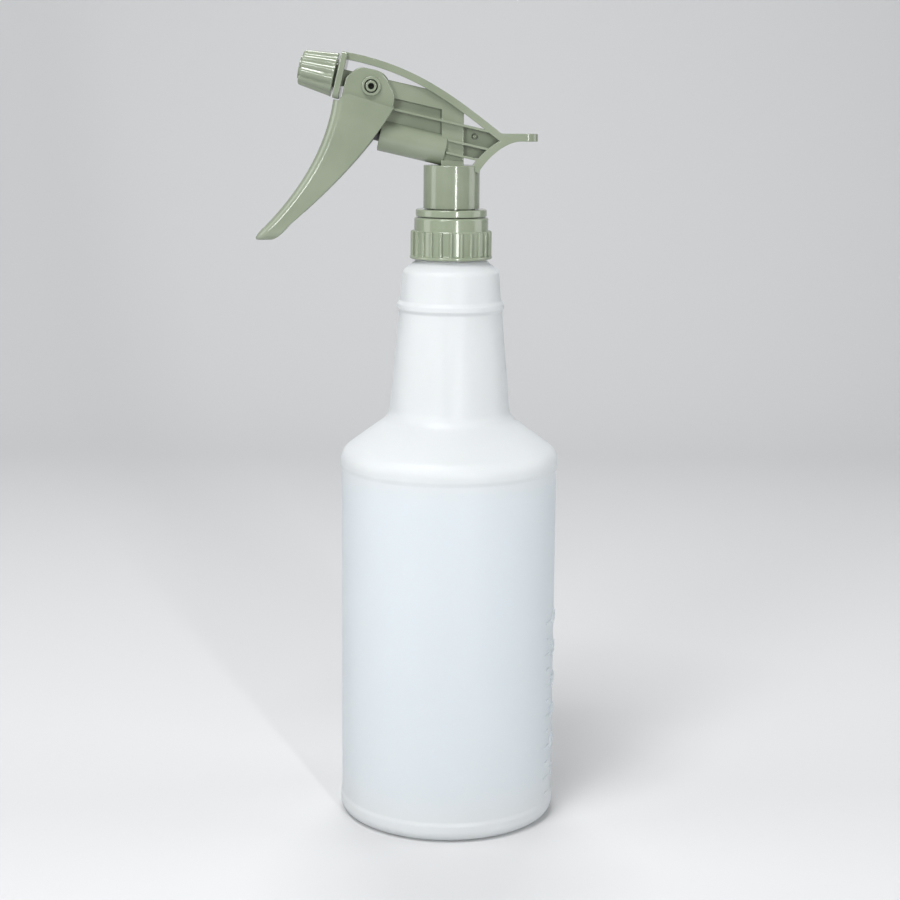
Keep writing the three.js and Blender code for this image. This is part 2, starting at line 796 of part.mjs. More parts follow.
function makeSprayerBody() {
  const h = head;
  const inTilt = (geometry) => geometry.applyMatrix4(tilted);
  const riserFoot = deckTopZ - SINK;
  const frontPlate = new THREE.ExtrudeGeometry(
    new THREE.Shape(
      rounded(
        [
          [-plateHalfWidth, -h.plateBottom, h.plateCorner],
          [plateHalfWidth, -h.plateBottom, h.plateCorner],
          [plateHalfWidth, h.plateTop, h.plateTopCorner],
          [-plateHalfWidth, h.plateTop, h.plateTopCorner],
        ],
        { closed: true },
      ),
    ),
    { depth: h.plateThick, bevelEnabled: false },
  )
    .rotateX(Math.PI / 2)
    .rotateZ(Math.PI / 2);
  const barrel = block(
    h.plateThick / 2,
    neckAlong - riser.left,
    -riser.halfDepth,
    riser.halfDepth,
    -h.barrelBottom,
    h.barrelTop,
  );
  const web = plate(
    [
      level(pumpFront + h.webSetBack, 0),
      level(pumpFront + h.webSetBack, -pump.drop),
      [0, level(pumpBack, -pump.drop)[1]],
      [0, finAtNeck(0)],
    ].map(([x, z]) => new THREE.Vector2(x, z)),
    h.webHalfThick,
  );
  const [webTop, webFoot] = [0.2, 0.8]; // shares of the strut's length
  const strutFoot = strutCurve().getPoint(webFoot);
  const topFinEnd = h.tailStart - topFin.shortOfTail;
  const rearWeb = plate(
    [
      new THREE.Vector2(0, finAtNeck(lowFin.drop)),
      new THREE.Vector2(strutFoot.x - h.strutThick, strutFoot.y),
      ...beside(strutCurve(), h.strutThick / 2, 4, webFoot, webTop),
      ...[h.tailStart - 1.2, topFinEnd].map((x) => new THREE.Vector2(x, archMiddle(x))),
      new THREE.Vector2(topFinEnd - 1, finAtNeck(topFin.drop) - (topFinEnd - 1) * tiltTan),
      new THREE.Vector2(0, finAtNeck(topFin.drop)),
    ],
    h.rearWebHalfThick,
  );
  const column = plate(
    [
      [-riser.left, riserFoot],
      [riser.right, riserFoot],
      [riser.right, archMiddle(riser.right)],
      [-riser.left, archMiddle(-riser.left)],
    ].map(([x, z]) => new THREE.Vector2(x, z)),
    riser.halfDepth,
  );
  const columnFoot = block(
    -riser.left - riser.footProud,
    riser.right + riser.footProud,
    -riser.halfDepth - riser.footProud,
    riser.halfDepth + riser.footProud,
    riserFoot,
    deckTopZ + riser.footHeight,
  );
  const skirtShell = turned(
    rounded([
      [0, deckTopZ - skirt.deck],
      [skirt.radius - skirt.wall, deckTopZ - skirt.deck],
      [skirt.radius - skirt.wall, skirtZ],
      [skirt.radius, skirtZ],
      [skirt.radius, deckTopZ],
      [0, deckTopZ],
    ]),
    36,
  );
  const inletTip = barUp(chamberRadius - SLIP, ballZ + inletBall.radius + inletBall.lift, riserFoot);
  const housing = barAlong(pumpRadius, pumpFront, pumpBack, -pump.drop, 32);
  const posts = barAcross(pivot.postRadius, -postEnd, postEnd, pivot.along, -pivot.drop);
  const nose = turned(
    rounded([
      [0, -SINK],
      [spigot.rootRadius, -SINK],
      [spigot.rootRadius, spigot.length],
      [0, spigot.length],
    ]),
    24,
  );
  const noseThread = threadRib({
    root: spigot.rootRadius,
    crest: spigot.rootRadius + nozzleThread.depth,
    rootHalf: nozzleThread.rootHalf,
    crestHalf: nozzleThread.crestHalf,
    pitch: nozzleThread.pitch,
    turns: nozzleThread.turns,
    start: nozzleThread.firstAt,
  });
  const forward = (geometry) => geometry.rotateY(-Math.PI / 2);
  const tiltedParts = [frontPlate, barrel, housing, posts, forward(nose), forward(noseThread)];
  const solid = join(
    makeArch(),
    makeTail(),
    makeStrut(),
    column,
    columnFoot,
    skirtShell,
    inletTip,
    web,
    rearWeb,
    fin(topFin.drop, level(topFin.fromAlong, -topFin.drop)[0], h.tailStart - topFin.shortOfTail),
    fin(middleFin.drop, middleFin.from, skirt.radius + middleFin.pastSkirt),
    fin(lowFin.drop, lowFin.from, skirt.radius - lowFin.shortOfSkirt),
    ...tiltedParts.map(inTilt),
  );
  const noseEnd = -spigot.length - PAST;
  const portFrom = pumpBack - pump.endWall - PAST;
  const postHole = (from, to) => barAcross(pivot.postBore, from, to, pivot.along, -pivot.drop, 16);
  return cut(
    solid,
    inTilt(barAlong(pump.bore, pumpFront - PAST, pumpFront + pump.depth, -pump.drop, 28)),
    inTilt(barAlong(pump.portRadius, portFrom, pumpBack + pump.shortOfNeck, -pump.drop, 12)),
    inTilt(barAlong(spigot.bore, noseEnd, outlet.seatThick, 0, 24)),
    inTilt(barAlong(h.barrelBore, 0, neckAlong + PAST, 0, 12)),
    inTilt(postHole(postEnd - pivot.postDepth, postEnd + PAST)),
    inTilt(postHole(-postEnd - PAST, -postEnd + pivot.postDepth)),
    barUp(riser.bore, ballZ, finAtNeck(0), 12),
    barAcross(plugHole, -h.rearWebHalfThick - PAST, h.rearWebHalfThick + PAST, ...plugPlace, 16),
  );
}

// ---------------------------------------------------------------- plug pin in the rear web

function makePlugPin() {
  const half = head.rearWebHalfThick + plug.proud;
  return barAcross(plug.radius, -half, half, ...plugPlace, 16);
}

// ---------------------------------------------------------------- pump, along the spray line

function makePiston() {
  const p = piston;
  const headEnd = pistonHeadAt + p.headThick;
  return turnedAlong(
    rounded([
      [0, pistonButtonAt],
      [p.buttonRadius, pistonButtonAt],
      [p.buttonRadius, pistonButtonAt + p.button],
      [p.rodRadius, pistonButtonAt + p.button],
      [p.rodRadius, pistonHeadAt],
      [pump.bore - SLIP, pistonHeadAt],
      [pump.bore - SLIP, headEnd],
      [p.spigotRadius, headEnd],
      [p.spigotRadius, headEnd + p.spigot],
      [0, headEnd + p.spigot],
    ]),
    20,
  ).translate(0, 0, -pump.drop);
}

function makePistonCup() {
  const p = piston;
  const from = pistonHeadAt + p.headThick + GAP;
  const outer = pump.bore - GAP;
  const inner = p.spigotRadius + GAP;
  return turnedAlong(
    [
      [inner, from],
      [outer - p.lipTaper, from],
      [outer, from + p.cupThick],
      [outer - p.cupLip, from + p.cupThick],
      [outer - p.cupLip - p.cupSlope, from + p.cupWeb],
      [inner, from + p.cupWeb],
      [inner, from],
    ].map(([r, x]) => new THREE.Vector2(r, x)),
    24,
  ).translate(0, 0, -pump.drop);
}

function makePistonWiper() {
  const p = piston;
  const to = pistonHeadAt - GAP;
  const outer = pump.bore - GAP;
  const inner = p.rodRadius + GAP;
  return turnedAlong(
    [
      [inner, to - p.wiperThick],
      [outer, to - p.wiperThick],
      [outer - p.lipTaper, to],
      [inner, to],
      [inner, to - p.wiperThick],
    ].map(([r, x]) => new THREE.Vector2(r, x)),
    24,
  ).translate(0, 0, -pump.drop);
}

function makeRodGuide() {
  const from = pumpFront + guide.inset;
  const to = pistonHeadAt - GAP - piston.wiperThick - GAP;
  const outer = pump.bore - GAP;
  const inner = piston.rodRadius + SLIP;
  return turnedAlong(
    [
      [inner, from],
      [outer, from],
      [outer, to],
      [inner, to],
      [inner, from],
    ].map(([r, x]) => new THREE.Vector2(r, x)),
    24,
  ).translate(0, 0, -pump.drop);
}

function makeReturnSpring() {
  const s = returnSpring;
  const cupEnd = pistonHeadAt + piston.headThick + GAP + piston.cupThick;
  const start = cupEnd + GAP + s.wire / 2;
  const end = pumpFront + pump.depth - GAP - s.wire / 2;
  return coil(pump.bore - s.room, s.wire, s.turns, start, end - start, 6, 12).translate(0, 0, -pump.drop);
}

// ---------------------------------------------------------------- trigger

// Where the trigger's front and rear edges run, from the pivot end to the fingertip end.
function triggerEdges() {
  const edge = (corners) =>
    new THREE.QuadraticBezierCurve(...corners.map((corner) => new THREE.Vector2(...level(...corner))));
  return { front: edge(trigger.frontEdge), rear: edge(trigger.rearEdge) };
}

// Corners given as (along, up, radius) in the tilted frame, turned into an outline.
function tiltedOutline(corners) {
  return corners.map(([along, up, radius]) => [...level(along, up), radius]);
}

// One U section across the trigger: outside, then back along the inside.
function triggerSection(front, rear, halfWidth) {
  const t = trigger;
  const depth = front.distanceTo(rear);
  const across = (inset) => {
    const half = halfWidth - inset;
    const radius = Math.max(t.corner - inset, 0.8);
    const arc = [0, 30, 60, 90].map((deg) => [
      inset + radius - radius * Math.sin(deg * DEG),
      half - radius + radius * Math.cos(deg * DEG),
    ]);
    const side = [[depth, half], ...arc];
    return [...side, ...side.map(([d, y]) => [d, -y]).reverse()];
  };
  const loop = [...across(0), ...across(t.wall).reverse()];
  const along = rear.clone().sub(front).normalize();
  return loop.map(([d, y]) => [front.x + along.x * d, y, front.y + along.y * d]);
}

function makeTriggerLever() {
  const { front, rear } = triggerEdges();
  const stations = 9;
  const positions = [];
  let size = 0;
  for (let i = 0; i <= stations; i++) {
    const t = i / stations;
    const half = THREE.MathUtils.lerp(leverHalfWidth, tipHalfWidth, t);
    const loop = triggerSection(front.getPoint(t), rear.getPoint(t), half);
    size = loop.length;
    loop.forEach((p) => positions.push(...p));
  }
  const indices = [];
  for (let i = 0; i < stations; i++) {
    for (let k = 0; k < size; k++) {
      const a = i * size + k;
      const b = i * size + ((k + 1) % size);
      indices.push(a, b + size, b, a, a + size, b + size);
    }
  }
  // Each end is a strip between the section's outside and its inside.
  const half = size / 2;
  for (let k = 0; k < half - 1; k++) {
    const inner = (j) => size - 1 - j;
    indices.push(k, inner(k + 1), inner(k), k, k + 1, inner(k + 1));
    const base = stations * size;
    indices.push(base + k, base + inner(k + 1), base + k + 1, base + k, base + inner(k), base + inner(k + 1));
  }
  const geometry = new THREE.BufferGeometry();
  geometry.setAttribute("position", new THREE.Float32BufferAttribute(positions, 3));
  geometry.setIndex(indices);
  return geometry;
}

// The closed fingertip end, rounded past the edges' ends.
function makeTriggerTip() {
  const t = trigger;
  const { front, rear } = triggerEdges();
  const from = front.getPoint(t.tipFrom);
  const back = rear.getPoint(t.tipFrom);
  const corners = [[from.x, from.y], [back.x, back.y], ...tiltedOutline(t.tip)];
  return plate(rounded(corners.reverse(), { closed: true }), tipHalfWidth - t.tipThinner);
}

function earOutline() {
  const clearOfPlate = head.plateThick + SLIP;
  const front = trigger.earFront.map(([up, radius]) => [clearOfPlate, up, radius]);
  return rounded(tiltedOutline([...front, ...trigger.ear]).reverse(), { closed: true });
}

function makeTrigger() {
  const t = trigger;
  const hole = pivot.postRadius + SLIP;
  const inTilt = (geometry) => geometry.applyMatrix4(tilted);
  const hub = (from, to) => barAcross(hole + t.bossWall, from, to, pivot.along, -pivot.drop, 24);
  const barHalf = leverHalfWidth - t.wall / 2;
  return cut(
    join(
      makeTriggerLever(),
      makeTriggerTip(),
      inTilt(barAcross(t.barRadius, -barHalf, barHalf, t.barAlong, -pump.drop, 14)),
      slab(earOutline(), earInner, earOuter),
      slab(earOutline(), -earOuter, -earInner),
      inTilt(hub(earInner, earOuter + t.bossProud)),
      inTilt(hub(-earOuter - t.bossProud, -earInner)),
    ),
    inTilt(barAcross(hole, -postEnd - PAST, postEnd + PAST, pivot.along, -pivot.drop, 20)),
  );
}

// ---------------------------------------------------------------- nozzle, along the spray line

// Pieces here are made forward along +Z and then laid along the spray line.
function layForward(geometry) {
  return geometry.rotateY(-Math.PI / 2);
}

function makeNozzleCap() {
  const n = nozzle;
  const rear = n.gapToPlate;
  const front = rear + n.length;
  const bore = spigot.rootRadius + nozzleThread.depth + GAP;
  const shell = turned(
    rounded([
      [n.rearRadius, rear],
      [n.rearRadius, rear + n.rearBand],
      [n.frontRadius, front - n.frontEdge],
      [n.frontRadius - n.frontEdge, front],
      [n.faceRadius, front],
      [n.faceRadius, front + n.faceStep],
      [n.orifice, front + n.faceStep],
      [n.orifice, front - n.frontWall],
      [bore, front - n.frontWall],
      [bore, rear],
      [n.rearRadius, rear],
    ]),
    48,
  );
  // Flutes: the outer skin is pulled in between the ridges, and only ahead of the rear rim.
  const place = shell.attributes.position;
  const ahead = rear + n.rearBand + 0.01;
  for (let i = 0; i < place.count; i++) {
    const [x, y, z] = [place.getX(i), place.getY(i), place.getZ(i)];
    const radius = Math.hypot(x, y);
    if (radius < bore + 0.05 || z < ahead || z > front - n.frontEdge / 2) continue;
    const ridge = Math.cos(n.flutes * Math.atan2(y, x));
    const factor = (radius - (n.fluteDepth * (1 - ridge)) / 2) / radius;
    place.setXY(i, x * factor, y * factor);
  }
  const thread = threadRib({
    root: bore,
    crest: spigot.rootRadius + GAP,
    rootHalf: nozzleThread.rootHalf,
    crestHalf: nozzleThread.crestHalf,
    pitch: nozzleThread.pitch,
    turns: nozzleThread.capTurns,
    start: nozzleThread.firstAt + nozzleThread.pitch / 2,
  });
  return layForward(join(shell, thread));
}

function makeNozzleSeal() {
  const inside = nozzle.gapToPlate + nozzle.length - nozzle.frontWall;
  const major = spigot.rootRadius - seal.insideSpigot;
  const middle = inside - seal.inset - seal.section;
  const sides = 6;
  const points = Array.from({ length: sides }, (_, i) => {
    const angle = (-2 * Math.PI * i) / sides;
    return new THREE.Vector2(major - seal.section * Math.cos(angle), middle + seal.section * Math.sin(angle));
  });
  points.push(points[0].clone());
  return layForward(turned(points, 20));
}

function makeOutletSeat() {
  const outer = spigot.bore - GAP;
  const back = -outlet.seatThick + GAP;
  const shape = ring(
    [
      [outlet.seatBore, back],
      [outer, back],
      [outer, back + outlet.seatThick],
      [outlet.seatBore + outlet.seatChamfer, back + outlet.seatThick],
      [outlet.seatBore, back + outlet.seatThick - outlet.seatChamfer],
    ],
    24,
  );
  return layForward(shape);
}

// The ball rests in the seat's mouth, GAP clear of it. The seat's face stands GAP ahead of the plate.
const seatTouchRadius = outlet.seatBore + outlet.seatTouch;
const outletBallAt = 2 * GAP + Math.sqrt((outlet.ballRadius + GAP) ** 2 - seatTouchRadius ** 2);

function makeOutletBall() {
  return layForward(new THREE.SphereGeometry(outlet.ballRadius, 12, 8).translate(0, 0, outletBallAt));
}

const spinnerFrom = spigot.length - spinner.backFromEnd - spinner.length;

function makeOutletSpring() {
  const from = outletBallAt + outlet.ballRadius + outlet.springRoom;
  const to = spinnerFrom - GAP - outlet.springWire / 2;
  const spring = coil(outlet.springRadius, outlet.springWire, outlet.turns, from, to - from, 5, 9);
  return spring.rotateY(Math.PI);
}

function makeSpinner() {
  const outer = spigot.bore - GAP;
  const body = turned(
    rounded([
      [0, spinnerFrom],
      [outer, spinnerFrom],
      [outer, spinnerFrom + spinner.length],
      [0, spinnerFrom + spinner.length],
    ]),
    24,
  );
  const grooves = [0, 1].map((i) =>
    block(
      outer - spinner.groove,
      outer + PAST,
      -spinner.groove / 2,
      spinner.groove / 2,
      spinnerFrom - PAST,
      spinnerFrom + spinner.length + PAST,
    ).rotateZ(Math.PI * i),
  );
  return layForward(cut(body, ...grooves));
}

// ---------------------------------------------------------------- materials and assembly

const finish = {
  sagePlastic: { color: 0x9aa893, roughness: 0.34, metalness: 0 },
  milkyPlastic: { color: 0xe8eef2, roughness: 0.45, metalness: 0 },
  clearTube: { color: 0xdfe4e6, roughness: 0.35, metalness: 0 },
  softSeal: { color: 0xd9d9d2, roughness: 0.75, metalness: 0 },
  darkRubber: { color: 0x2b2d2e, roughness: 0.8, metalness: 0 },
  whitePlastic: { color: 0xe6e6df, roughness: 0.4, metalness: 0 },
  darkPlastic: { color: 0x3a3d3a, roughness: 0.45, metalness: 0 },
  steel: { color: 0xb9bcbe, roughness: 0.25, metalness: 1 },
  glass: { color: 0xcfdde0, roughness: 0.05, metalness: 0 },
};

function piece(name, geometry, look) {
  const mesh = new THREE.Mesh(geometry, new THREE.MeshStandardMaterial(finish[look]));
  mesh.name = name;
  return mesh;
}

const upright = new THREE.Group();
upright.add(
  piece("bottle", makeBottle(), "milkyPlastic"),
  piece("collar", makeCollar(), "sagePlastic"),
  piece("neck_gasket", makeGasket(), "softSeal"),
  piece("tube_retainer", makeRetainer(), "sagePlastic"),
  piece("inlet_ball", makeInletBall(), "glass"),
  piece("dip_tube", makeDipTube(), "clearTube"),
  piece("sprayer_body", makeSprayerBody(), "sagePlastic"),
  piece("plug_pin", makePlugPin(), "whitePlastic"),
  piece("trigger", makeTrigger(), "sagePlastic"),
);

const sprayLine = new THREE.Group();
sprayLine.position.set(-head.reach, 0, sprayZ);
sprayLine.rotation.y = head.tilt * DEG;
sprayLine.add(
  piece("piston", makePiston(), "darkPlastic"),
  piece("piston_cup", makePistonCup(), "darkRubber"),
  piece("piston_wiper", makePistonWiper(), "darkRubber"),
  piece("rod_guide", makeRodGuide(), "whitePlastic"),
  piece("return_spring", makeReturnSpring(), "steel"),
  piece("outlet_seat", makeOutletSeat(), "softSeal"),
  piece("outlet_ball", makeOutletBall(), "steel"),
  piece("outlet_spring", makeOutletSpring(), "steel"),
  piece("spinner", makeSpinner(), "whitePlastic"),
  piece("nozzle_seal", makeNozzleSeal(), "darkRubber"),
  piece("nozzle_cap", makeNozzleCap(), "sagePlastic"),
);

// The part's origin is under the middle of its box, on the surface it stands on.
const assembly = new THREE.Group();
assembly.add(upright, sprayLine);
const box = new THREE.Box3().setFromObject(assembly, true);
assembly.position.x = -(box.min.x + box.max.x) / 2;

const group = new THREE.Group();
group.add(assembly);
export default group;
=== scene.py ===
# %% [markdown]
# # A trigger spray bottle, finished in Blender
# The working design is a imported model: a milky blow-moulded bottle, a screw collar, and a trigger
# sprayer with its pump, valves and nozzle inside. Here each visible moulding is built again with
# smooth surfaces, small edge rounds and real finishes, in the same place as the design has it.
# The design is loaded first, because every size and place below is measured from it.

# %% Load the design
import contextlib
import json
import math

import bpy
from mathutils import Matrix, Vector


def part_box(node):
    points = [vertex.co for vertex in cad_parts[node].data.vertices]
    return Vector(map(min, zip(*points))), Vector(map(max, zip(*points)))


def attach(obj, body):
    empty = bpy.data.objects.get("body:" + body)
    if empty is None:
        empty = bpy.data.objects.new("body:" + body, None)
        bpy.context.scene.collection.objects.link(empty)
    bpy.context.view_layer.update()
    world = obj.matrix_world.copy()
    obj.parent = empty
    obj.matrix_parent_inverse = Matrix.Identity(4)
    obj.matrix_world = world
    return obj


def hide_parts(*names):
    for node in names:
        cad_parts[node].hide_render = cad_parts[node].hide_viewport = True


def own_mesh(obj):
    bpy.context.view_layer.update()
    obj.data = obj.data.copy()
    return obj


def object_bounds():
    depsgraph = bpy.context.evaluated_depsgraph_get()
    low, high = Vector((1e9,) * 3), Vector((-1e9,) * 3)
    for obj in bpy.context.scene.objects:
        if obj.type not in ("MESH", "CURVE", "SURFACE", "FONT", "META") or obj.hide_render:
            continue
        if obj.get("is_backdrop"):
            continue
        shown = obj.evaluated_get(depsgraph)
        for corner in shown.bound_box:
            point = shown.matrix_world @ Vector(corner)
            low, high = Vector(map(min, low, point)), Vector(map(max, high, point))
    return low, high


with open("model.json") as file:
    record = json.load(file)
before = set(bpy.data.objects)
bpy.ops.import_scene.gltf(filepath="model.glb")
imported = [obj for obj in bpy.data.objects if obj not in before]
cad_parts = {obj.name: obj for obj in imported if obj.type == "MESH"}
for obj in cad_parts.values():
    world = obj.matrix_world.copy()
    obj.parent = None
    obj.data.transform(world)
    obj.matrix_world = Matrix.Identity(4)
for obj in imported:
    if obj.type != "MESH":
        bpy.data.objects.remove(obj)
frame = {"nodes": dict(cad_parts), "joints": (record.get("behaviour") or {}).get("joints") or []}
design_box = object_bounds()
joints = {joint["name"]: joint for joint in frame["joints"]}

# %% [markdown]
# ## Where things are
# The neck's axis is the collar's turning axis. The sprayer leans: its spray line climbs towards the
# nozzle, and the pump lies along it. A second pair of directions, along and square to that line,
# makes those pieces as easy to place as the upright ones.

# %% Axes and heights
MM = 0.001
neck_x = joints["collar_turn"]["pos_m"][0]
spray_start = Vector(joints["nozzle_turn"]["pos_m"])
forward = Vector(joints["nozzle_turn"]["axis"])
back = -forward
upward = Vector((-back.z, 0, back.x))
pivot_place = Vector(joints["trigger_pull"]["pos_m"])
flange_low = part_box("tube_retainer")[0]
collar_low, collar_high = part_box("collar")
head_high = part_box("sprayer_body")[1]
bottle_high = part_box("bottle")[1]
slack = 0.3  # the room that neighbouring parts have between them, in mm


def tilt(along, up):
    """The place `along` mm behind the spray line's start and `up` mm above the line."""
    return spray_start + back * (along * MM) + upward * (up * MM)


def upright(x, z):
    """The place x mm behind the neck's axis and z mm above the table."""
    return Vector((neck_x + x * MM, 0, z * MM))


def from_neck(place):
    """A place as (x, z) in mm, x measured from the neck's axis."""
    return ((place.x - neck_x) / MM, place.z / MM)


tilt_angle = math.atan2(-back.z, back.x)
print(f"neck axis at x {neck_x / MM:.2f} mm, spray line tilted {math.degrees(tilt_angle):.1f} degrees")

# %% [markdown]
# ## The camera
# A camera is made early, so that every later look is taken from the same place. This one stands
# three quarters of a metre away, a little above the top of the sprayer, and looks down ten degrees.
# It is also turned very slightly about its own line of sight.

# %% Camera
camera_right, camera_away, camera_height, focal_length = 0.32 * MM, 0.750, 0.28968, 74.81
look_down, roll = math.radians(10.41), math.radians(0.513)
eye = Vector((neck_x + camera_right, -camera_away, camera_height))
bpy.ops.object.camera_add(location=eye)
camera = bpy.context.object
camera.matrix_world = (
    Matrix.Translation(eye)
    @ Matrix.Rotation(math.radians(90) - look_down, 4, "X")
    @ Matrix.Rotation(roll, 4, "Z")
)
camera.data.sensor_width = 36
camera.data.lens = focal_length
camera.data.clip_start, camera.data.clip_end = 0.05, 20
bpy.context.scene.camera = camera
print("camera:", round(camera.data.lens, 1), "mm lens")

# %% [markdown]
# ## The bench tools
# Almost every moulding here is one of two things: a profile turned about an axis, or a flat outline
# given thickness. Both start as a wire, drawn by extruding a single vertex from point to point.
# Spinning the wire makes a turned part, and filling and extruding it makes a slab. Modifiers then
# round the edges and join or cut the shapes, and each modifier is applied as soon as it is added.


# %% Selecting and editing
def select_none():
    """Clears the selection, because an operator acts on all that is selected."""
    bpy.ops.object.select_all(action="DESELECT")


def only(*pieces):
    """Selects these objects and nothing else, and makes the first one active."""
    select_none()
    for piece in pieces:
        piece.select_set(True)
    bpy.context.view_layer.objects.active = pieces[0]
    return pieces[0]


@contextlib.contextmanager
def editing(piece, mode="VERT"):
    """Edit mode on one object with all of it selected, left again at the end of the block."""
    only(piece)
    bpy.ops.object.mode_set(mode="EDIT")
    bpy.ops.mesh.select_mode(type=mode)
    bpy.ops.mesh.select_all(action="SELECT")
    yield
    bpy.ops.object.mode_set(mode="OBJECT")


def pick(piece, kind, test):
    """In edit mode, selects the vertices, edges or faces that pass the test."""
    bpy.ops.mesh.select_all(action="DESELECT")
    bpy.ops.object.mode_set(mode="OBJECT")
    for part in getattr(piece.data, kind):
        part.select = bool(test(part))
    bpy.ops.object.mode_set(mode="EDIT")


def one_mesh(pieces):
    """Joins the meshes of several objects into the first one, without a boolean."""
    only(*pieces)
    bpy.ops.object.join()
    return bpy.context.object


def settle(piece, name=None):
    """Puts the object's own place, turn and size into its mesh."""
    only(piece)
    bpy.ops.object.transform_apply(location=True, rotation=True, scale=True)
    if name:
        piece.name = piece.data.name = name
    return piece


# %% Drawing wires
def draw(name, points):
    """A wire from point to point, extruded out of one vertex."""
    select_none()
    bpy.ops.mesh.primitive_plane_add(size=1 * MM, location=points[0])
    wire = settle(bpy.context.object, name)
    with editing(wire):
        bpy.ops.mesh.merge(type="CENTER")
        for start, end in zip(points, points[1:]):
            bpy.ops.mesh.extrude_vertices_move(TRANSFORM_OT_translate={"value": end - start})
    return wire


def rounded(corners, step=9, closed=False):
    """Corners as (x, y) or (x, y, radius), with an arc in place of each corner that has a radius."""
    points = []
    count = len(corners)
    for index, corner in enumerate(corners):
        here = Vector(corner[:2])
        radius = corner[2] if len(corner) > 2 else 0
        at_end = index in (0, count - 1)
        if not radius or (at_end and not closed):
            points.append(here)
            continue
        before = (Vector(corners[index - 1][:2]) - here).normalized()
        after = (Vector(corners[(index + 1) % count][:2]) - here).normalized()
        turn = math.pi - before.angle(after)
        reach = radius * math.tan(turn / 2)
        start = here + before * reach
        centre = here + (before + after).normalized() * math.hypot(reach, radius)
        side = 1 if before.cross(after) < 0 else -1
        steps = max(2, round(math.degrees(turn) / step))
        spoke = start - centre
        for i in range(steps + 1):
            angle = side * turn * i / steps
            swung = Vector((
                spoke.x * math.cos(angle) - spoke.y * math.sin(angle),
                spoke.x * math.sin(angle) + spoke.y * math.cos(angle),
            ))
            points.append(centre + swung)
    return points


def bezier(a, b, c, d, count):
    """Points of a cubic curve, both ends included."""
    a, b, c, d = (Vector(p) for p in (a, b, c, d))
    spots = [i / count for i in range(count + 1)]
    return [
        a * (1 - t) ** 3 + b * 3 * t * (1 - t) ** 2 + c * 3 * t * t * (1 - t) + d * t**3 for t in spots
    ]


# %% Turned parts and slabs
def tidy_shell():
    """In edit mode: merges doubled vertices and turns every face outwards."""
    bpy.ops.mesh.select_all(action="SELECT")
    bpy.ops.mesh.remove_doubles(threshold=0.002 * MM)
    bpy.ops.mesh.normals_make_consistent(inside=False)


def turned(name, corners, steps=96, arc_step=12, closed=True):
    """A profile of (radius, height) in mm, spun about the upright axis at x 0."""
    points = [Vector((r * MM, 0, h * MM)) for r, h in rounded(corners, arc_step, closed)]
    if closed:
        points.append(points[0].copy())
    piece = draw(name, points)
    with editing(piece):
        bpy.ops.mesh.spin(steps=steps, angle=2 * math.pi, center=(0, 0, 0), axis=(0, 0, 1))
        tidy_shell()
    return piece


def push_out(move):
    """In edit mode: extrudes what is selected by a vector."""
    bpy.ops.mesh.extrude_region_move(TRANSFORM_OT_translate={"value": move})


def drum(name, radius, low, high, low_ease=0.0, high_ease=0.0, steps=48):
    """A solid round piece about +Z, with rounded rims."""
    corners = [(0.01, low), (radius, low, low_ease), (radius, high, high_ease), (0.01, high)]
    return turned(name, corners, steps)


def prism(name, outline, push):
    """A flat outline of places, filled and extruded by a vector."""
    piece = draw(name, outline)
    with editing(piece):
        bpy.ops.mesh.edge_face_add()
        push_out(push)
        tidy_shell()
    return piece


def slab(name, outline, low, high):
    """An outline of places in the X-Z plane, given thickness from y low to y high, in mm."""
    start = [Vector((p.x, low * MM, p.z)) for p in outline]
    return prism(name, start, Vector((0, (high - low) * MM, 0)))


def at_neck(piece):
    """Moves a piece made about x 0 onto the neck's axis."""
    piece.location.x += neck_x
    return settle(piece)


def along_spray(piece, along=0, up=0, faces=back):
    """Lays a piece made about +Z down along the spray line, its top towards `faces`."""
    turn = Vector((0, 0, 1)).rotation_difference(faces).to_matrix().to_4x4()
    piece.matrix_world = Matrix.Translation(tilt(along, up)) @ turn
    return settle(piece)


def across(piece, place):
    """Lays a piece made about +Z down along Y, its top towards the viewer, at a place."""
    piece.matrix_world = Matrix.Translation(place) @ Matrix.Rotation(math.radians(90), 4, "X")
    return settle(piece)


# %% Modifiers, applied at once
def modify(piece, kind, **settings):
    """Adds one modifier, sets it and applies it."""
    only(piece)
    modifier = piece.modifiers.new(kind.title(), kind)
    for key, value in settings.items():
        setattr(modifier, key, value)
    bpy.ops.object.modifier_apply(modifier=modifier.name)
    return piece


def ease(piece, width, segments=2, angle=40):
    """Rounds every edge sharper than an angle, by a width in mm."""
    return modify(
        piece,
        "BEVEL",
        width=width * MM,
        segments=segments,
        limit_method="ANGLE",
        angle_limit=math.radians(angle),
        use_clamp_overlap=True,
    )


def combine(piece, operation, others):
    """Joins other solids to a piece or cuts them from it, and removes them."""
    for other in others:
        modify(piece, "BOOLEAN", operation=operation, solver="EXACT", object=other)
        bpy.data.objects.remove(other)
    return piece


def join_up(piece, *others):
    return combine(piece, "UNION", others)


def cut_away(piece, *others):
    return combine(piece, "DIFFERENCE", others)


def rod(name, radius, length, sides=48):
    """A plain round cutter or bar about +Z, from 0 up to its length, in mm."""
    select_none()
    bpy.ops.mesh.primitive_cylinder_add(
        radius=radius * MM, depth=length * MM, vertices=sides, location=(0, 0, length * MM / 2)
    )
    return settle(bpy.context.object, name)


def block(name, size, place=(0, 0, 0)):
    """A plain block of a size, centred on a place, in mm."""
    select_none()
    bpy.ops.mesh.primitive_cube_add(size=1)
    piece = bpy.context.object
    piece.scale = [side * MM for side in size]
    piece.location = [side * MM for side in place]
    return settle(piece, name)


def copy_of(piece, name):
    """A copy with its own mesh."""
    twin = piece.copy()
    twin.data = piece.data.copy()
    twin.name = twin.data.name = name
    bpy.context.collection.objects.link(twin)
    return twin


finished = []


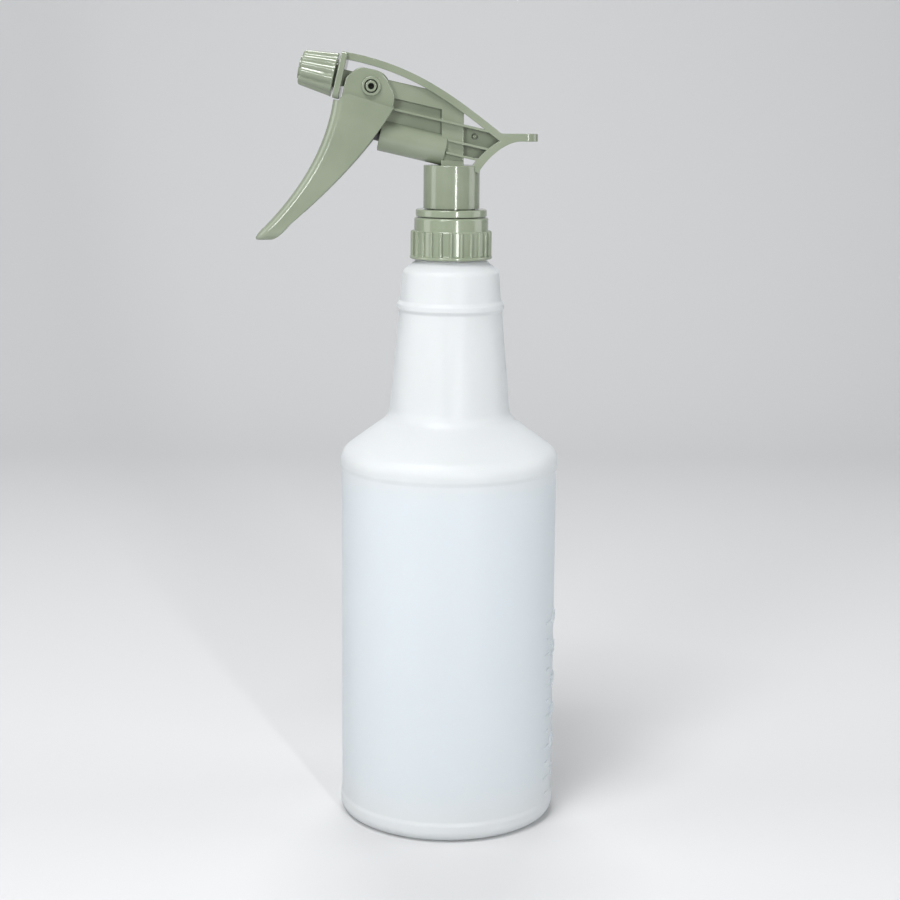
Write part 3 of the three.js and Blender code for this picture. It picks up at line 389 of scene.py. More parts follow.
def finish(piece, body, material, node=None, angle=32):
    """Smooths a piece, gives it its material and makes it ride on its body.

    The normals are then weighted by area, so that a flat face beside a rounded edge stays flat.
    """
    only(piece)
    bpy.ops.object.shade_smooth_by_angle(angle=math.radians(angle))
    modify(piece, "WEIGHTED_NORMAL", keep_sharp=True)
    piece.data.materials.clear()
    piece.data.materials.append(material)
    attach(piece, body)
    if node:
        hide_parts(node)
    finished.append(piece)
    print(f"{piece.name}: {len(piece.data.polygons)} faces on {body}")
    return piece


# %% [markdown]
# ## Shader maths in Python
# A procedural finish is a graph of nodes. Writing it as expressions keeps it readable, so a small
# class wraps an output socket and lets +, - and * add the Math nodes, from either side. One method
# of a material builder adds any other node: it takes the type, the settings and what feeds its
# sockets.


# %% Wires and finishes
class Wire:
    """A node's output, on which Python's operators add Math nodes."""

    def __init__(self, maker, socket):
        self.maker = maker
        self.socket = socket

    def maths(self, operation, first, second):
        return self.maker.node("ShaderNodeMath", {"operation": operation}, {0: first, 1: second})

    def __add__(self, other):
        return self.maths("ADD", self, other)

    def __radd__(self, other):
        return self.maths("ADD", other, self)

    def __sub__(self, other):
        return self.maths("SUBTRACT", self, other)

    def __rsub__(self, other):
        return self.maths("SUBTRACT", other, self)

    def __mul__(self, other):
        return self.maths("MULTIPLY", self, other)

    def __rmul__(self, other):
        return self.maths("MULTIPLY", other, self)


class Finish:
    """A material under construction."""

    def __init__(self, name):
        self.material = bpy.data.materials.new(name)
        self.material.use_nodes = True
        self.tree = self.material.node_tree
        self.tree.nodes.clear()

    def node(self, kind, settings=None, inputs=None, output=0):
        made = self.tree.nodes.new(kind)
        for key, value in (settings or {}).items():
            setattr(made, key, value)
        for key, value in (inputs or {}).items():
            if isinstance(value, Wire):
                self.tree.links.new(value.socket, made.inputs[key])
            else:
                made.inputs[key].default_value = value
        return Wire(self, made.outputs[output] if len(made.outputs) else None)

    def place(self):
        """Object coordinates, in metres."""
        return self.node("ShaderNodeTexCoord", output="Object")

    def height(self):
        return self.node("ShaderNodeSeparateXYZ", {}, {0: self.place()}, output="Z")

    def noise(self, size, detail=2.0, place=None):
        """Noise whose features are about `size` mm across."""
        inputs = {"Vector": place or self.place(), "Scale": 1 / (size * MM), "Detail": detail}
        return self.node("ShaderNodeTexNoise", {}, inputs)

    def blend(self, share, first, second):
        """Two colours mixed by a share from 0 to 1."""
        return self.node(
            "ShaderNodeMix", {"data_type": "RGBA"}, {0: share, 6: first, 7: second}, output=2
        )

    def between(self, value, low, high):
        """0 below low, 1 above high, and a smooth rise between them."""
        inputs = {"Value": value, "From Min": low, "From Max": high}
        return self.node("ShaderNodeMapRange", {"interpolation_type": "SMOOTHSTEP"}, inputs)

    def bump(self, height, depth):
        """A normal that makes `height` look `depth` mm deep."""
        return self.node(
            "ShaderNodeBump", {}, {"Height": height, "Distance": depth * MM, "Strength": 1.0}
        )

    def plastic(self, **inputs):
        """A Principled surface, its sockets named with underscores for spaces."""
        named = {key.replace("_", " ").title().replace("Ior", "IOR"): v for key, v in inputs.items()}
        return self.node("ShaderNodeBsdfPrincipled", {}, named)

    def done(self, surface):
        self.node("ShaderNodeOutputMaterial", {}, {"Surface": surface})
        return self.material


# %% [markdown]
# ## The finishes
# The sprayer is moulded in a sage green plastic with a soft gloss: a slow drift of colour from the
# flow of the melt, a faint waviness that breaks up the highlights, and a roughness that wanders a
# little. The bottle is natural polyethylene. It is milky, so light soaks in and comes out again. The
# wall is thinnest round the body, and there a cooler bluish tint is painted into the colour: painted
# shade that stands for dark seen through the thin wall. The neck and the heel keep the plain milk.
# The collar and the retainer get a copy of the same sage painted a little paler: painted light, for the
# brighter look these parts take under the lamps.


# %% Sprayer plastic
def sage_plastic(name, light=1.0):
    f = Finish(name)
    drift = f.noise(22, 3.0)
    fine = f.noise(0.9, 3.0)
    pale = [0.205 * light, 0.234 * light, 0.172 * light, 1]
    deep = [0.178 * light, 0.206 * light, 0.148 * light, 1]
    ripple = f.noise(9, 1.0) * 0.9 + fine * 0.02
    return f.done(
        f.plastic(
            base_color=f.blend(f.between(drift, 0.3, 0.7), deep, pale),
            roughness=0.11 + fine * 0.03 + drift * 0.05,
            normal=f.bump(ripple, 0.04),
            specular_ior_level=0.55,
        )
    )


# %% Bottle plastic
def milky_polyethylene():
    f = Finish("milky_polyethylene")
    height = f.height()
    stretched = f.node("ShaderNodeMapping", {}, {"Vector": f.place(), "Scale": (1, 1, 0.12)})
    streaks = f.noise(9, 3.0, stretched)
    grain = f.noise(0.7, 2.0)
    # Between the heel and the shoulder a cooler bluish colour is mixed in: painted see-through shade,
    # standing for dark seen through the thin wall; the streaks vary how much.
    above_heel = f.between(height, 4 * MM, 26 * MM)
    body = above_heel * (1 - f.between(height, 136 * MM, 150 * MM))
    milk, see_through_shade = [0.84, 0.855, 0.86, 1], [0.825, 0.865, 0.89, 1]
    colour = f.blend(body * (0.7 + streaks * 0.35), milk, see_through_shade)
    wall = f.plastic(
        base_color=colour,
        roughness=0.36 + grain * 0.12,
        normal=f.bump(streaks * 0.7 + grain * 0.05, 0.06),
        subsurface_weight=0.6,
        subsurface_radius=(0.006, 0.006, 0.0065),
        transmission_weight=0.4,
        ior=1.5,
    )
    glow = f.node("ShaderNodeBsdfTranslucent", {}, {"Color": colour})
    glow_share = 0.3
    return f.done(f.node("ShaderNodeMixShader", {}, {0: glow_share, 1: wall, 2: glow}))


# %% Small parts
def plain_plastic(name, colour, roughness, transmission=0.0):
    f = Finish(name)
    cloud = f.noise(3, 2.0)
    darker = [c * 0.9 for c in colour] + [1]
    return f.done(
        f.plastic(
            base_color=f.blend(cloud, darker, list(colour) + [1]),
            roughness=roughness + cloud * 0.1,
            normal=f.bump(cloud, 0.02),
            transmission_weight=transmission,
        )
    )


def drawn_steel(name):
    f = Finish(name)
    lines = f.noise(0.25, 2.0)
    return f.done(
        f.plastic(
            base_color=f.blend(lines, [0.5, 0.5, 0.51, 1], [0.66, 0.66, 0.67, 1]),
            roughness=0.2 + lines * 0.15,
            metallic=1.0,
        )
    )


def polished_glass(name):
    f = Finish(name)
    haze = f.noise(0.8, 1.0)
    return f.done(
        f.plastic(
            base_color=[0.85, 0.93, 0.92, 1],
            roughness=0.03 + haze * 0.04,
            transmission_weight=0.9,
            ior=1.5,
        )
    )


sage = sage_plastic("sage_plastic")
# A copy of the sage made 1.15 times as light, for the collar and the retainer: painted light, standing
# for the brighter look these parts have under the lamps.
sage_painted_light = sage_plastic("pale_sage_plastic", 1.15)
hdpe = milky_polyethylene()
tube_plastic = plain_plastic("tube_plastic", (0.82, 0.86, 0.88), 0.3, 0.3)
white_plastic = plain_plastic("white_plastic", (0.78, 0.78, 0.75), 0.35)
dark_plastic = plain_plastic("dark_plastic", (0.045, 0.048, 0.045), 0.4)
seal_plastic = plain_plastic("seal_plastic", (0.72, 0.72, 0.68), 0.65)
dark_rubber = plain_plastic("dark_rubber", (0.03, 0.03, 0.03), 0.7)
steel = drawn_steel("spring_steel")
glass = polished_glass("ball_glass")
print("finishes:", len(bpy.data.materials))

# %% [markdown]
# ## The bottle
# A blow-moulded bottle is one skin of nearly even thickness. It could be a primitive cylinder that
# is pushed into shape ring by ring, but a turned profile says more plainly what the shape is: the
# foot that it stands on, a bead at the heel and another at the shoulder, a steep shoulder, a long
# tapering neck with a ring for the fingers, and the threaded finish that the collar grips. Only the
# outer skin is drawn, from the middle of the base to the lip, and Solidify then gives it its wall.

# %% Bottle profile
body_radius, bead_radius, wall = 43.7, 44.15, 1.2
lip_z = bottle_high.z / MM
finish_z = lip_z - 10.8
finish_radius = 12.5
neck_top_radius, neck_root_radius, neck_length = 19.3, 24.45, 58.6
neck_top_z = finish_z - (neck_top_radius - finish_radius) * math.tan(math.radians(38))
neck_root_z = neck_top_z - neck_length
shoulder_z = neck_root_z - (bead_radius - neck_root_radius) * math.tan(math.radians(36.5))
ring_z = neck_top_z - 14


def neck_radius(z):
    """The tapering neck's radius at a height, in mm."""
    return neck_top_radius + (neck_top_z - z) * (neck_root_radius - neck_top_radius) / neck_length


bottle_profile = [
    (0, 4),
    (33, 3.4, 6),
    (38.2, 0.25, 1.6),
    (bead_radius, 0, 4.5),
    (bead_radius, 7, 3),
    (body_radius, 8.4, 3),
    (body_radius, 145.0, 2.5),
    (bead_radius, 146.6, 2.5),
    (bead_radius, shoulder_z, 7),
    (neck_root_radius, neck_root_z, 8),
    (neck_radius(ring_z - 2.2), ring_z - 2.2, 1.2),
    (neck_radius(ring_z) + 1.0, ring_z - 0.9, 0.9),
    (neck_radius(ring_z) + 1.0, ring_z + 0.9, 0.9),
    (neck_radius(ring_z + 2.2), ring_z + 2.2, 1.2),
    (neck_top_radius, neck_top_z, 3.2),
    (finish_radius, finish_z, 0.8),
    (finish_radius, lip_z - 0.4),
    (finish_radius - 0.4, lip_z),
    (finish_radius - 0.9, lip_z),
]
bottle_shell = turned("bottle_shell", bottle_profile, steps=128, arc_step=10, closed=False)
modify(bottle_shell, "SOLIDIFY", thickness=wall * MM, offset=-1, use_even_offset=True, use_rim=True)
at_neck(bottle_shell)
print("bottle:", len(bottle_shell.data.polygons), "faces,", round(lip_z, 1), "mm to the lip")

# %% [markdown]
# The thread on the finish is a small rib that climbs as it turns. Its cross-section is drawn once
# and the Screw modifier carries it round, which is what that modifier is named for.


# %% Threads
def screw(section, turns, rise, steps, **settings):
    """Carries a section round +Z while it climbs, with a number of steps to a turn."""
    count = round(steps * turns)
    modify(
        section,
        "SCREW",
        angle=2 * math.pi * turns,
        screw_offset=rise * MM,
        steps=count,
        render_steps=count,
        **settings,
    )
    with editing(section):
        tidy_shell()
    return section


def thread(name, root, crest, pitch, turns, start, half_root, half_crest, steps=48):
    """A helical rib about +Z: its root and crest are radii, and each has half its width, in mm."""
    section = [(root, -half_root), (crest, -half_crest), (crest, half_crest), (root, half_root)]
    rib = draw(name, [Vector((r * MM, 0, (start + h) * MM)) for r, h in section])
    with editing(rib):
        bpy.ops.mesh.edge_face_add()
    return screw(rib, turns, pitch * turns, steps, use_normal_calculate=True)


thread_pitch, thread_turns = 4.233, 1.35
coarse_rib, fine_rib = (1.15, 0.5), (0.5, 0.22)
thread_start = lip_z - 2.6 - thread_pitch * thread_turns
neck_thread = thread("neck_thread", 12.3, 13.7, thread_pitch, thread_turns, thread_start, *coarse_rib)
join_up(bottle_shell, at_neck(neck_thread))
print("with its thread:", len(bottle_shell.data.polygons), "faces")

# %% [markdown]
# Raised graduations run up one side of the body. Each is a short bar with a number beside it, and
# both stand a third of a millimetre off the wall. Numbers are text objects made into meshes, laid
# on the wall one by one, because each stands on a nearly flat patch of it.

# %% Graduations
body_area = math.pi * ((body_radius - wall) / 10) ** 2
mark_step_ml, mark_count, mark_proud = 75, 6, 0.34
mark_step = mark_step_ml / body_area * 10
zero_level = 4.6
number_angle, long_bar_angle, short_bar_angle = -9, -21, -20.2


def on_wall(piece, angle, z):
    """Stands a flat piece on the body's wall, `angle` degrees round from +X, at height z mm."""
    turn = Matrix.Rotation(math.radians(angle + 90), 4, "Z") @ Matrix.Rotation(math.radians(90), 4, "X")
    out = Matrix.Rotation(math.radians(angle), 4, "Z") @ Vector((body_radius * MM, 0, 0))
    piece.matrix_world = Matrix.Translation(out + Vector((neck_x, 0, z * MM))) @ turn
    return settle(piece)


def raised_number(text, angle, z, tall=5.0):
    """A number of a height in mm. Capitals are about three quarters of a text's nominal size."""
    select_none()
    bpy.ops.object.text_add()
    label = bpy.context.object
    label.data.body = text
    label.data.size = tall * 1.35 * MM
    label.data.align_x, label.data.align_y = "CENTER", "CENTER"
    label.data.resolution_u = 3
    label.data.extrude = mark_proud * MM
    label.data.bevel_depth = 0.06 * MM
    label.data.bevel_resolution = 1
    bpy.ops.object.convert(target="MESH")
    label = bpy.context.object
    label.name = label.data.name = "number_" + text
    with editing(label):
        tidy_shell()
    return on_wall(label, angle, z)


def raised_bar(angle, z, width, tall=0.7):
    return on_wall(ease(block("bar", (width, tall, 2 * mark_proud)), 0.12), angle, z)


marks = []
for count in range(1, mark_count + 1):
    level = zero_level + count * mark_step
    marks.append(raised_number(str(count * mark_step_ml), number_angle, level))
    marks.append(raised_bar(long_bar_angle, level, 5.5))
    marks.append(raised_bar(short_bar_angle, level - mark_step / 2, 3.6))
graduations = settle(one_mesh(marks), "graduations")
print("graduations:", mark_count, "numbers,", round(mark_step, 1), "mm apart")

# %% Bottle finished
finish(bottle_shell, "bottle", hdpe, "bottle", angle=40)
finish(graduations, "bottle", hdpe, angle=40)

# %% [markdown]
# ## The collar
# The collar is a screw cap with a plain band at its top, twenty-four grip ribs below it and a thin
# rim at the foot. The shell is turned. One rib is a narrow bar with a rounded nose, and the other
# twenty-three are copies of it, each turned a little further round, and all are joined to the shell.

# %% Collar
collar_z, collar_top_z = collar_low.z / MM, collar_high.z / MM
rim_radius = (collar_high.x - collar_low.x) / 2 / MM
rib_root, band_radius, rib_nose, rib_count = 15.2, 14.8, 16.2, 24
top_hole, seal_step, collar_bore = 9.4, 12.2, 14.0
band_foot_z = collar_top_z - 5.6
collar_profile = [
    (rim_radius - 0.35, collar_z),
    (rim_radius, collar_z + 0.3, 0.3),
    (rim_radius, collar_z + 1.1, 0.4),
    (rib_root, collar_z + 1.5, 0.5),
    (rib_root, band_foot_z, 0.5),
    (band_radius, band_foot_z + 0.4, 0.4),
    (band_radius, collar_top_z, 0.9),
    (top_hole, collar_top_z),
    (top_hole, collar_top_z - 1.5),
    (seal_step, collar_top_z - 1.5),
    (seal_step, lip_z + 1),
    (collar_bore, lip_z - 0.3),
    (collar_bore, collar_z, 0.3),
]
collar_cap = turned("collar_cap", collar_profile, steps=120)


def grip_rib(wide=1.3, sunk=1.0):
    """One rib, sunk a little into the shell and rounded over at its nose."""
    foot, top = collar_z + 0.55, band_foot_z + 0.25
    size = (rib_nose - rib_root + sunk, wide, top - foot)
    rib = block("rib", size, ((rib_root - sunk + rib_nose) / 2, 0, (foot + top) / 2))
    with editing(rib, "EDGE"):
        nose_x = (rib_nose - 0.05) * MM
        verts = rib.data.vertices
        pick(rib, "edges", lambda e: all(verts[i].co.x > nose_x for i in e.vertices))
        bpy.ops.mesh.bevel(offset=0.55 * MM, segments=5, affect="EDGES")
    return rib


first_rib = grip_rib()
ribs = [first_rib]
for index in range(1, rib_count):
    twin = copy_of(first_rib, "rib")
    twin.rotation_euler.z = 2 * math.pi * index / rib_count
    ribs.append(settle(twin))
join_up(collar_cap, one_mesh(ribs))
collar_thread = thread("collar_thread", 14.2, 12.8, thread_pitch, 1.0, lip_z - 9.4, *coarse_rib)
collar_thread.rotation_euler.z = math.radians(90)
join_up(collar_cap, settle(collar_thread))
finish(at_neck(collar_cap), "collar", sage_painted_light, "collar")

# %% [markdown]
# ## The tube retainer
# A flanged bush snaps through the collar and into the sprayer's skirt. Only its flange shows, as
# the thin disc between the collar and the skirt, but the rest is turned too: the seat that the
# inlet ball rests on, the socket for the dip tube, and the flange that presses on the neck's gasket.

# %% Retainer
flange_z = collar_top_z + slack
flange_top_z = flange_z + 2.9
seal_z, press_thick = lip_z + 1.6, 1.6
press_radius, shank_radius, flange_radius = 11.8, 9.0, 14.2
snug_radius, snug_inside, snug_height = 9.4, 8.0, 8.0
socket_radius, tube_bore = 4.7, 3.3
chamber_radius, ball_room, ball_port, chamber_height = 4.78, 3.38, 1.4, 7.4
retainer_profile = [
    (socket_radius, flange_low.z / MM, 0.3),
    (socket_radius, seal_z, 0.4),
    (press_radius, seal_z, 0.2),
    (press_radius, seal_z + press_thick, 0.2),
    (shank_radius, seal_z + press_thick),
    (shank_radius, flange_z),
    (flange_radius, flange_z, 0.5),
    (flange_radius, flange_top_z, 0.55),
    (snug_radius, flange_top_z),
    (snug_radius, flange_top_z + snug_height, 0.4),
    (snug_inside, flange_top_z + snug_height, 0.3),
    (snug_inside, flange_z - 0.5),
    (chamber_radius, flange_z - 0.5),
    (chamber_radius, flange_top_z + chamber_height, 0.3),
    (ball_room, flange_top_z + chamber_height, 0.3),
    (ball_room, flange_z + 3.68),
    (ball_port, flange_z + 1.7),
    (ball_port, flange_z + 0.3),
    (tube_bore, flange_z + 0.3),
    (tube_bore, flange_low.z / MM, 0.2),
]
retainer = at_neck(turned("retainer_bush", retainer_profile, steps=96))
finish(retainer, "head", sage_painted_light, "tube_retainer")

# %% [markdown]
# ## The sprayer body
# The body is one complicated moulding, but each feature of it is simple: an arched rail that runs
# from the front plate over the top to a flat tail, with a strut that sweeps back down to the skirt;
# a square barrel that carries the spray line; a round pump housing below it; thin webs and fins that
# tie them together; and the column that stands on the skirt. Each is made and edge-rounded alone,
# and they are then joined into one solid, because rounding first keeps every round clean. The rail's
# outline runs over the arch, round the tail and down the strut, then back up the strut's other side
# to the sharp V where it meets the arch.

# %% Rail: arch, tail and strut in one outline
rail_half, tail_thick = 6.4, 3.0
plate_thick, plate_top, plate_foot, plate_half = 2.5, 9.3, 8.8, 9.0
skirt_radius, skirt_height = 11.2, 17.0
skirt_z = flange_top_z + slack
deck_z = skirt_z + skirt_height
tail_end = (head_high.x - neck_x) / MM
tail_top_z = flange_z + 32.7
tail_foot_z = tail_top_z - tail_thick
front_fall, rear_fall = 9, 37

arch_start = Vector(from_neck(tilt(0, plate_top + 0.2)))
arch_end = Vector((19.6, tail_top_z))


def downhill(degrees, length):
    """A step towards the tail that falls at an angle."""
    return Vector((math.cos(math.radians(degrees)), -math.sin(math.radians(degrees)))) * length


span = arch_end.x - arch_start.x
front_pull = arch_start + downhill(front_fall, span * 0.47)
rear_pull = arch_end - downhill(rear_fall, span * 0.35)
arch_curve = bezier(arch_start, front_pull, rear_pull, arch_end, 36)


def beside(points, distance, last=None):
    """A run of points moved to the right of the way it runs, by a distance that may change to `last`."""
    moved = []
    growth = ((distance if last is None else last) - distance) / (len(points) - 1)
    for index, point in enumerate(points):
        ahead = points[min(index + 1, len(points) - 1)]
        behind = points[max(index - 1, 0)]
        way = (ahead - behind).normalized()
        moved.append(point + Vector((way.y, -way.x)) * (distance + growth * index))
    return moved


def crossing(first, second):
    """Where two runs of points come closest: an index into each."""
    pairs = [(i, j) for i in range(len(first)) for j in range(len(second))]
    return min(pairs, key=lambda pair: (first[pair[0]] - second[pair[1]]).length)


arch_thick, strut_thick, strut_foot_thick = 2.8, 2.4, 3.5
arch_inner = beside(arch_curve, arch_thick)
arch_inner += [arch_inner[-1] + downhill(rear_fall, reach) for reach in (0.4, 0.8, 1.2, 1.6, 2.0)]
strut_top, strut_foot = (27.0, tail_foot_z), (10.4, deck_z - 3.0)
strut_outer = bezier(strut_top, (22.6, tail_foot_z), (15.2, deck_z + 5.2), strut_foot, 40)
strut_inner = beside(strut_outer, strut_thick, strut_foot_thick)
arch_last, strut_first = crossing(arch_inner, strut_inner)
rail_outline = (
    arch_curve
    + [Vector((tail_end, tail_top_z)), Vector((tail_end, tail_foot_z))]
    + strut_outer
    + strut_inner[:strut_first:-1]
    + arch_inner[arch_last::-1]
)
rail = slab("rail", [upright(p.x, p.y) for p in rail_outline], -rail_half, rail_half)
print("rail outline:", len(rail_outline), "points")

# %% [markdown]
# Seen from above, the tail's end has well rounded corners. The shape from above is drawn as a second
# solid, and the rail keeps only what the two have in common.

# %% Tail corners
tail_corner, past_the_front = 4.5, -60
plan_corners = [
    (past_the_front, -rail_half),
    (tail_end, -rail_half, tail_corner),
    (tail_end, rail_half, tail_corner),
    (past_the_front, rail_half),
]
plan_places = [Vector((neck_x + x * MM, y * MM, 0.25)) for x, y in rounded(plan_corners)]
combine(rail, "INTERSECT", [prism("plan", plan_places, Vector((0, 0, 0.08)))])
ease(rail, 0.4, 3, angle=25)

# %% [markdown]
# The rest of the body's features follow, each from the sizes that the design gives it. Places along
# the spray line use `tilt`, and upright places use `upright`. The column and the barrel are made too
# long, joined, and cut off along the arch's middle line, so that no corner stands out above the arch.

# %% Front plate and barrel
neck_along = (spray_start.x - neck_x) / MM / -back.x
tilt_slope = math.tan(tilt_angle)
plate_corners = [
    (-plate_half, -plate_foot, 2.4),
    (plate_half, -plate_foot, 2.4),
    (plate_half, plate_top, 1.8),
    (-plate_half, plate_top, 1.8),
]
plate_places = [
    tilt(0, up) + Vector((0, y * MM, 0)) for y, up in rounded(plate_corners, 12, closed=True)
]
front_plate = ease(prism("front_plate", plate_places, back * plate_thick * MM), 0.45, 3)
half_column = 4.5
barrel_top, barrel_foot = 2.9, -3.6
barrel_end = neck_along + 2
barrel_corners = [(1, barrel_top), (barrel_end, barrel_top), (barrel_end, barrel_foot), (1, barrel_foot)]
barrel = slab("barrel", [tilt(along, up) for along, up in barrel_corners], -half_column, half_column)


# %% Column, its foot and the skirt
def standing_block(name, front, rear, foot_z, top_z, half):
    """A block on the neck's axis, from `front` to `rear` along x and `half` to each side, in mm."""
    corners = [(front, foot_z), (rear, foot_z), (rear, top_z), (front, top_z)]
    return slab(name, [upright(x, z) for x, z in corners], -half, half)


arch_middle = beside(arch_curve, arch_thick / 2)
column_front, column_rear = -4.1, 4.6
sunk_z, past_arch_z = deck_z - 0.5, tail_top_z + 25
column = standing_block("column", column_front, column_rear, sunk_z, past_arch_z, half_column)
join_up(column, barrel)
low_z, far_front = deck_z - 5, arch_middle[0].x - 4
low_corners = [Vector((arch_middle[-1].x, low_z)), Vector((far_front, low_z))]
under_arch = arch_middle + low_corners + [Vector((far_front, arch_middle[0].y))]
combine(column, "INTERSECT", [slab("under_arch", [upright(p.x, p.y) for p in under_arch], -9, 9)])
ease(column, 0.3)
foot_proud, foot_wider = 0.45, 0.1
foot_front, foot_rear = column_front - foot_wider, column_rear + foot_wider
foot_half = half_column + foot_proud
column_foot = standing_block("column_foot", foot_front, foot_rear, sunk_z, deck_z + 2, foot_half)
ease(column_foot, 0.35)
skirt_bore, deck_thick = 9.7, 1.8
skirt = turned(
    "skirt",
    [
        (skirt_radius - 0.15, skirt_z),
        (skirt_radius, skirt_z + 0.15),
        (skirt_radius, deck_z, 0.4),
        (0.01, deck_z),
        (0.01, deck_z - deck_thick),
        (skirt_bore, deck_z - deck_thick, 0.3),
        (skirt_bore, skirt_z),
    ],
    steps=96,
)
at_neck(skirt)

# %% Pump housing, pivot posts and nose
pump_drop, pump_bore, pump_radius, pump_length, pump_floor = 18.6, 4.9, 6.3, 26.7, 1.4
pump_back = neck_along + pump_drop * tilt_slope - 2.4
pump_front = pump_back - pump_length
housing = drum("housing", pump_radius, 0, pump_length, 0.4, 0.5, 72)
along_spray(housing, pump_front, -pump_drop)
post_radius, post_bore, post_end, post_bore_depth = 2.2, 1.25, 9.1, 7.0
post = across(drum("post", post_radius, -post_end, post_end, 0.35, 0.35), pivot_place)
nose_radius, nose_length = 5.2, 11
nose = drum("nose", nose_radius, -1.5, nose_length, 0, 0.3, 64)
nozzle_pitch = 2.0
nose_thread = thread("nose_thread", 5.0, 5.9, nozzle_pitch, 3, 2.4, *fine_rib)
join_up(nose, nose_thread)
along_spray(nose, 0, 0, forward)

# %% Webs and fins
fin_thick = 0.9
top_drop, middle_drop, low_drop = 7.7, 14.5, 19.4


def line_at_neck(drop):
    """The height at which a line `drop` mm below the spray line crosses the neck's axis."""
    return from_neck(tilt(neck_along, 0))[1] - drop / math.cos(tilt_angle)


def fin(name, drop, from_x, to_x):
    """A thin flat fin that runs along the tilt."""
    half = fin_thick / 2 / math.cos(tilt_angle)
    middle = line_at_neck(drop)
    corners = [(from_x, -half), (to_x, -half), (to_x, half), (from_x, half)]
    outline = [upright(x, middle - x * tilt_slope + side) for x, side in corners]
    return ease(slab(name, outline, -rail_half, rail_half), 0.12)


fins = [
    fin("top_fin", top_drop, from_neck(tilt(19, -top_drop))[0], 14.4),
    fin("middle_fin", middle_drop, -1.5, 14.2),
    fin("low_fin", low_drop, -2.2, 11.4),
]
front_web_half, rear_web_half = 2.3, 1.5
front_web_places = [
    tilt(pump_front + 1, 0),
    tilt(pump_front + 1, -pump_drop),
    upright(0, from_neck(tilt(pump_back, -pump_drop))[1]),
    upright(0, line_at_neck(0)),
]
front_web = slab("front_web", front_web_places, -front_web_half, front_web_half)
strut_middle = beside(strut_outer, strut_thick / 2, strut_foot_thick / 2)
web_corner = arch_inner[arch_last] + Vector((1.2, 0.2))
low_fin_end_z = line_at_neck(low_drop) - strut_foot[0] * tilt_slope
web_turn = 13.6
rear_web_places = (
    [Vector((0, line_at_neck(low_drop)))]
    + [p for p in reversed(strut_middle) if p.x < web_corner.x - 0.6 and p.y > low_fin_end_z]
    + [web_corner]
    + [p for p in reversed(arch_middle) if 14.0 < p.x < web_corner.x - 0.6]
    + [Vector((x, line_at_neck(top_drop) - x * tilt_slope)) for x in (web_turn, 0)]
)
rear_web = slab("rear_web", [upright(p.x, p.y) for p in rear_web_places], -rear_web_half, rear_web_half)

# %% [markdown]
# All of it is now joined, and the bores are cut through the whole: the pump's, the channel along the
# barrel, the one down the column, the hollow pivot posts and the small plugged hole in the rear web.


# %% One body
def rod_at_neck(name, radius, length, foot_z):
    """An upright rod on the neck's axis, its foot at a height in mm."""
    piece = rod(name, radius, length)
    piece.location.z = foot_z * MM
    return at_neck(settle(piece))


chamber_tip = rod_at_neck("chamber_tip", 2.98, 8.0, deck_z - 8.5)
sprayer_shell = join_up(
    skirt, column_foot, column, rail, front_plate, housing, front_web, rear_web, *fins, nose, post,
    chamber_tip,
)
sprayer_shell.name = sprayer_shell.data.name = "sprayer_shell"
print("joined:", len(sprayer_shell.data.polygons), "faces")

plug_radius = 1.4
plug_place = upright(8.9, line_at_neck(middle_drop) + 1.7)


def bore_along(name, radius, start, end, drop=0.0):
    return along_spray(rod(name, radius, end - start), start, -drop)


def bore_across(name, radius, low, high, place):
    piece = rod(name, radius, high - low)
    across(piece, place)
    piece.location.y = -low * MM
    return settle(piece)


channel_radius, port_radius, nose_bore = 1.5, 1.2, 3.6
post_hole_end = post_end - post_bore_depth
cut_away(
    sprayer_shell,
    bore_along("pump_bore", pump_bore, pump_front - 1, pump_back - pump_floor, pump_drop),
    bore_along("port", port_radius, pump_back - 3, pump_back + 2.4, pump_drop),
    bore_along("nose_bore", nose_bore, -nose_length - 1, 1.6),
    bore_along("barrel_bore", channel_radius, 0, neck_along + 1),
    bore_across("post_hole_near", post_bore, post_hole_end, post_end + 1, pivot_place),
    bore_across("post_hole_far", post_bore, -post_end - 1, -post_hole_end, pivot_place),
    bore_across("plug_hole", plug_radius, -rear_web_half - 1, rear_web_half + 1, plug_place),
    rod_at_neck("column_bore", channel_radius, 28, deck_z - 9),
)
finish(sprayer_shell, "head", sage, "sprayer_body")

# %% [markdown]
# ## The trigger
# The trigger is a tapering lever with a U section: a broad front for the fingers, a round edge along
# each side of it, and an open back. It is lofted: cross-sections are drawn as wires at stations down
# its length and bridged into a skin. The same loft, a wall's thickness smaller, is then cut out of
# it. Two ears carry it on the pivot posts, each with a raised ring round its hole.

# %% Lever sections
lever_half, tip_half, lever_wall, lever_corner = 9.4, 7.2, 1.8, 4.4


def quadratic(a, b, c, t):
    return a * (1 - t) ** 2 + b * 2 * t * (1 - t) + c * t * t


front_edge = [tilt(0.6, -9.7), tilt(2.2, -37), tilt(-17.2, -66.6)]
rear_edge = [tilt(24.6, -7.4), tilt(16.4, -32), tilt(-8.4, -64.6)]


def lever_section(front, rear, half, corner, reach=0.0):
    """One closed section: rounded corners at the front, small ones at the back."""
    along = (rear - front).normalized()
    depth = (rear - front).length / MM + reach
    corner = min(corner, depth * 0.45, half * 0.7)
    flat = rounded(
        [(0, -half, corner), (0, half, corner), (depth, half, 0.5), (depth, -half, 0.5)], 15, closed=True
    )
    return [front + along * (d * MM) + Vector((0, y * MM, 0)) for d, y in flat]


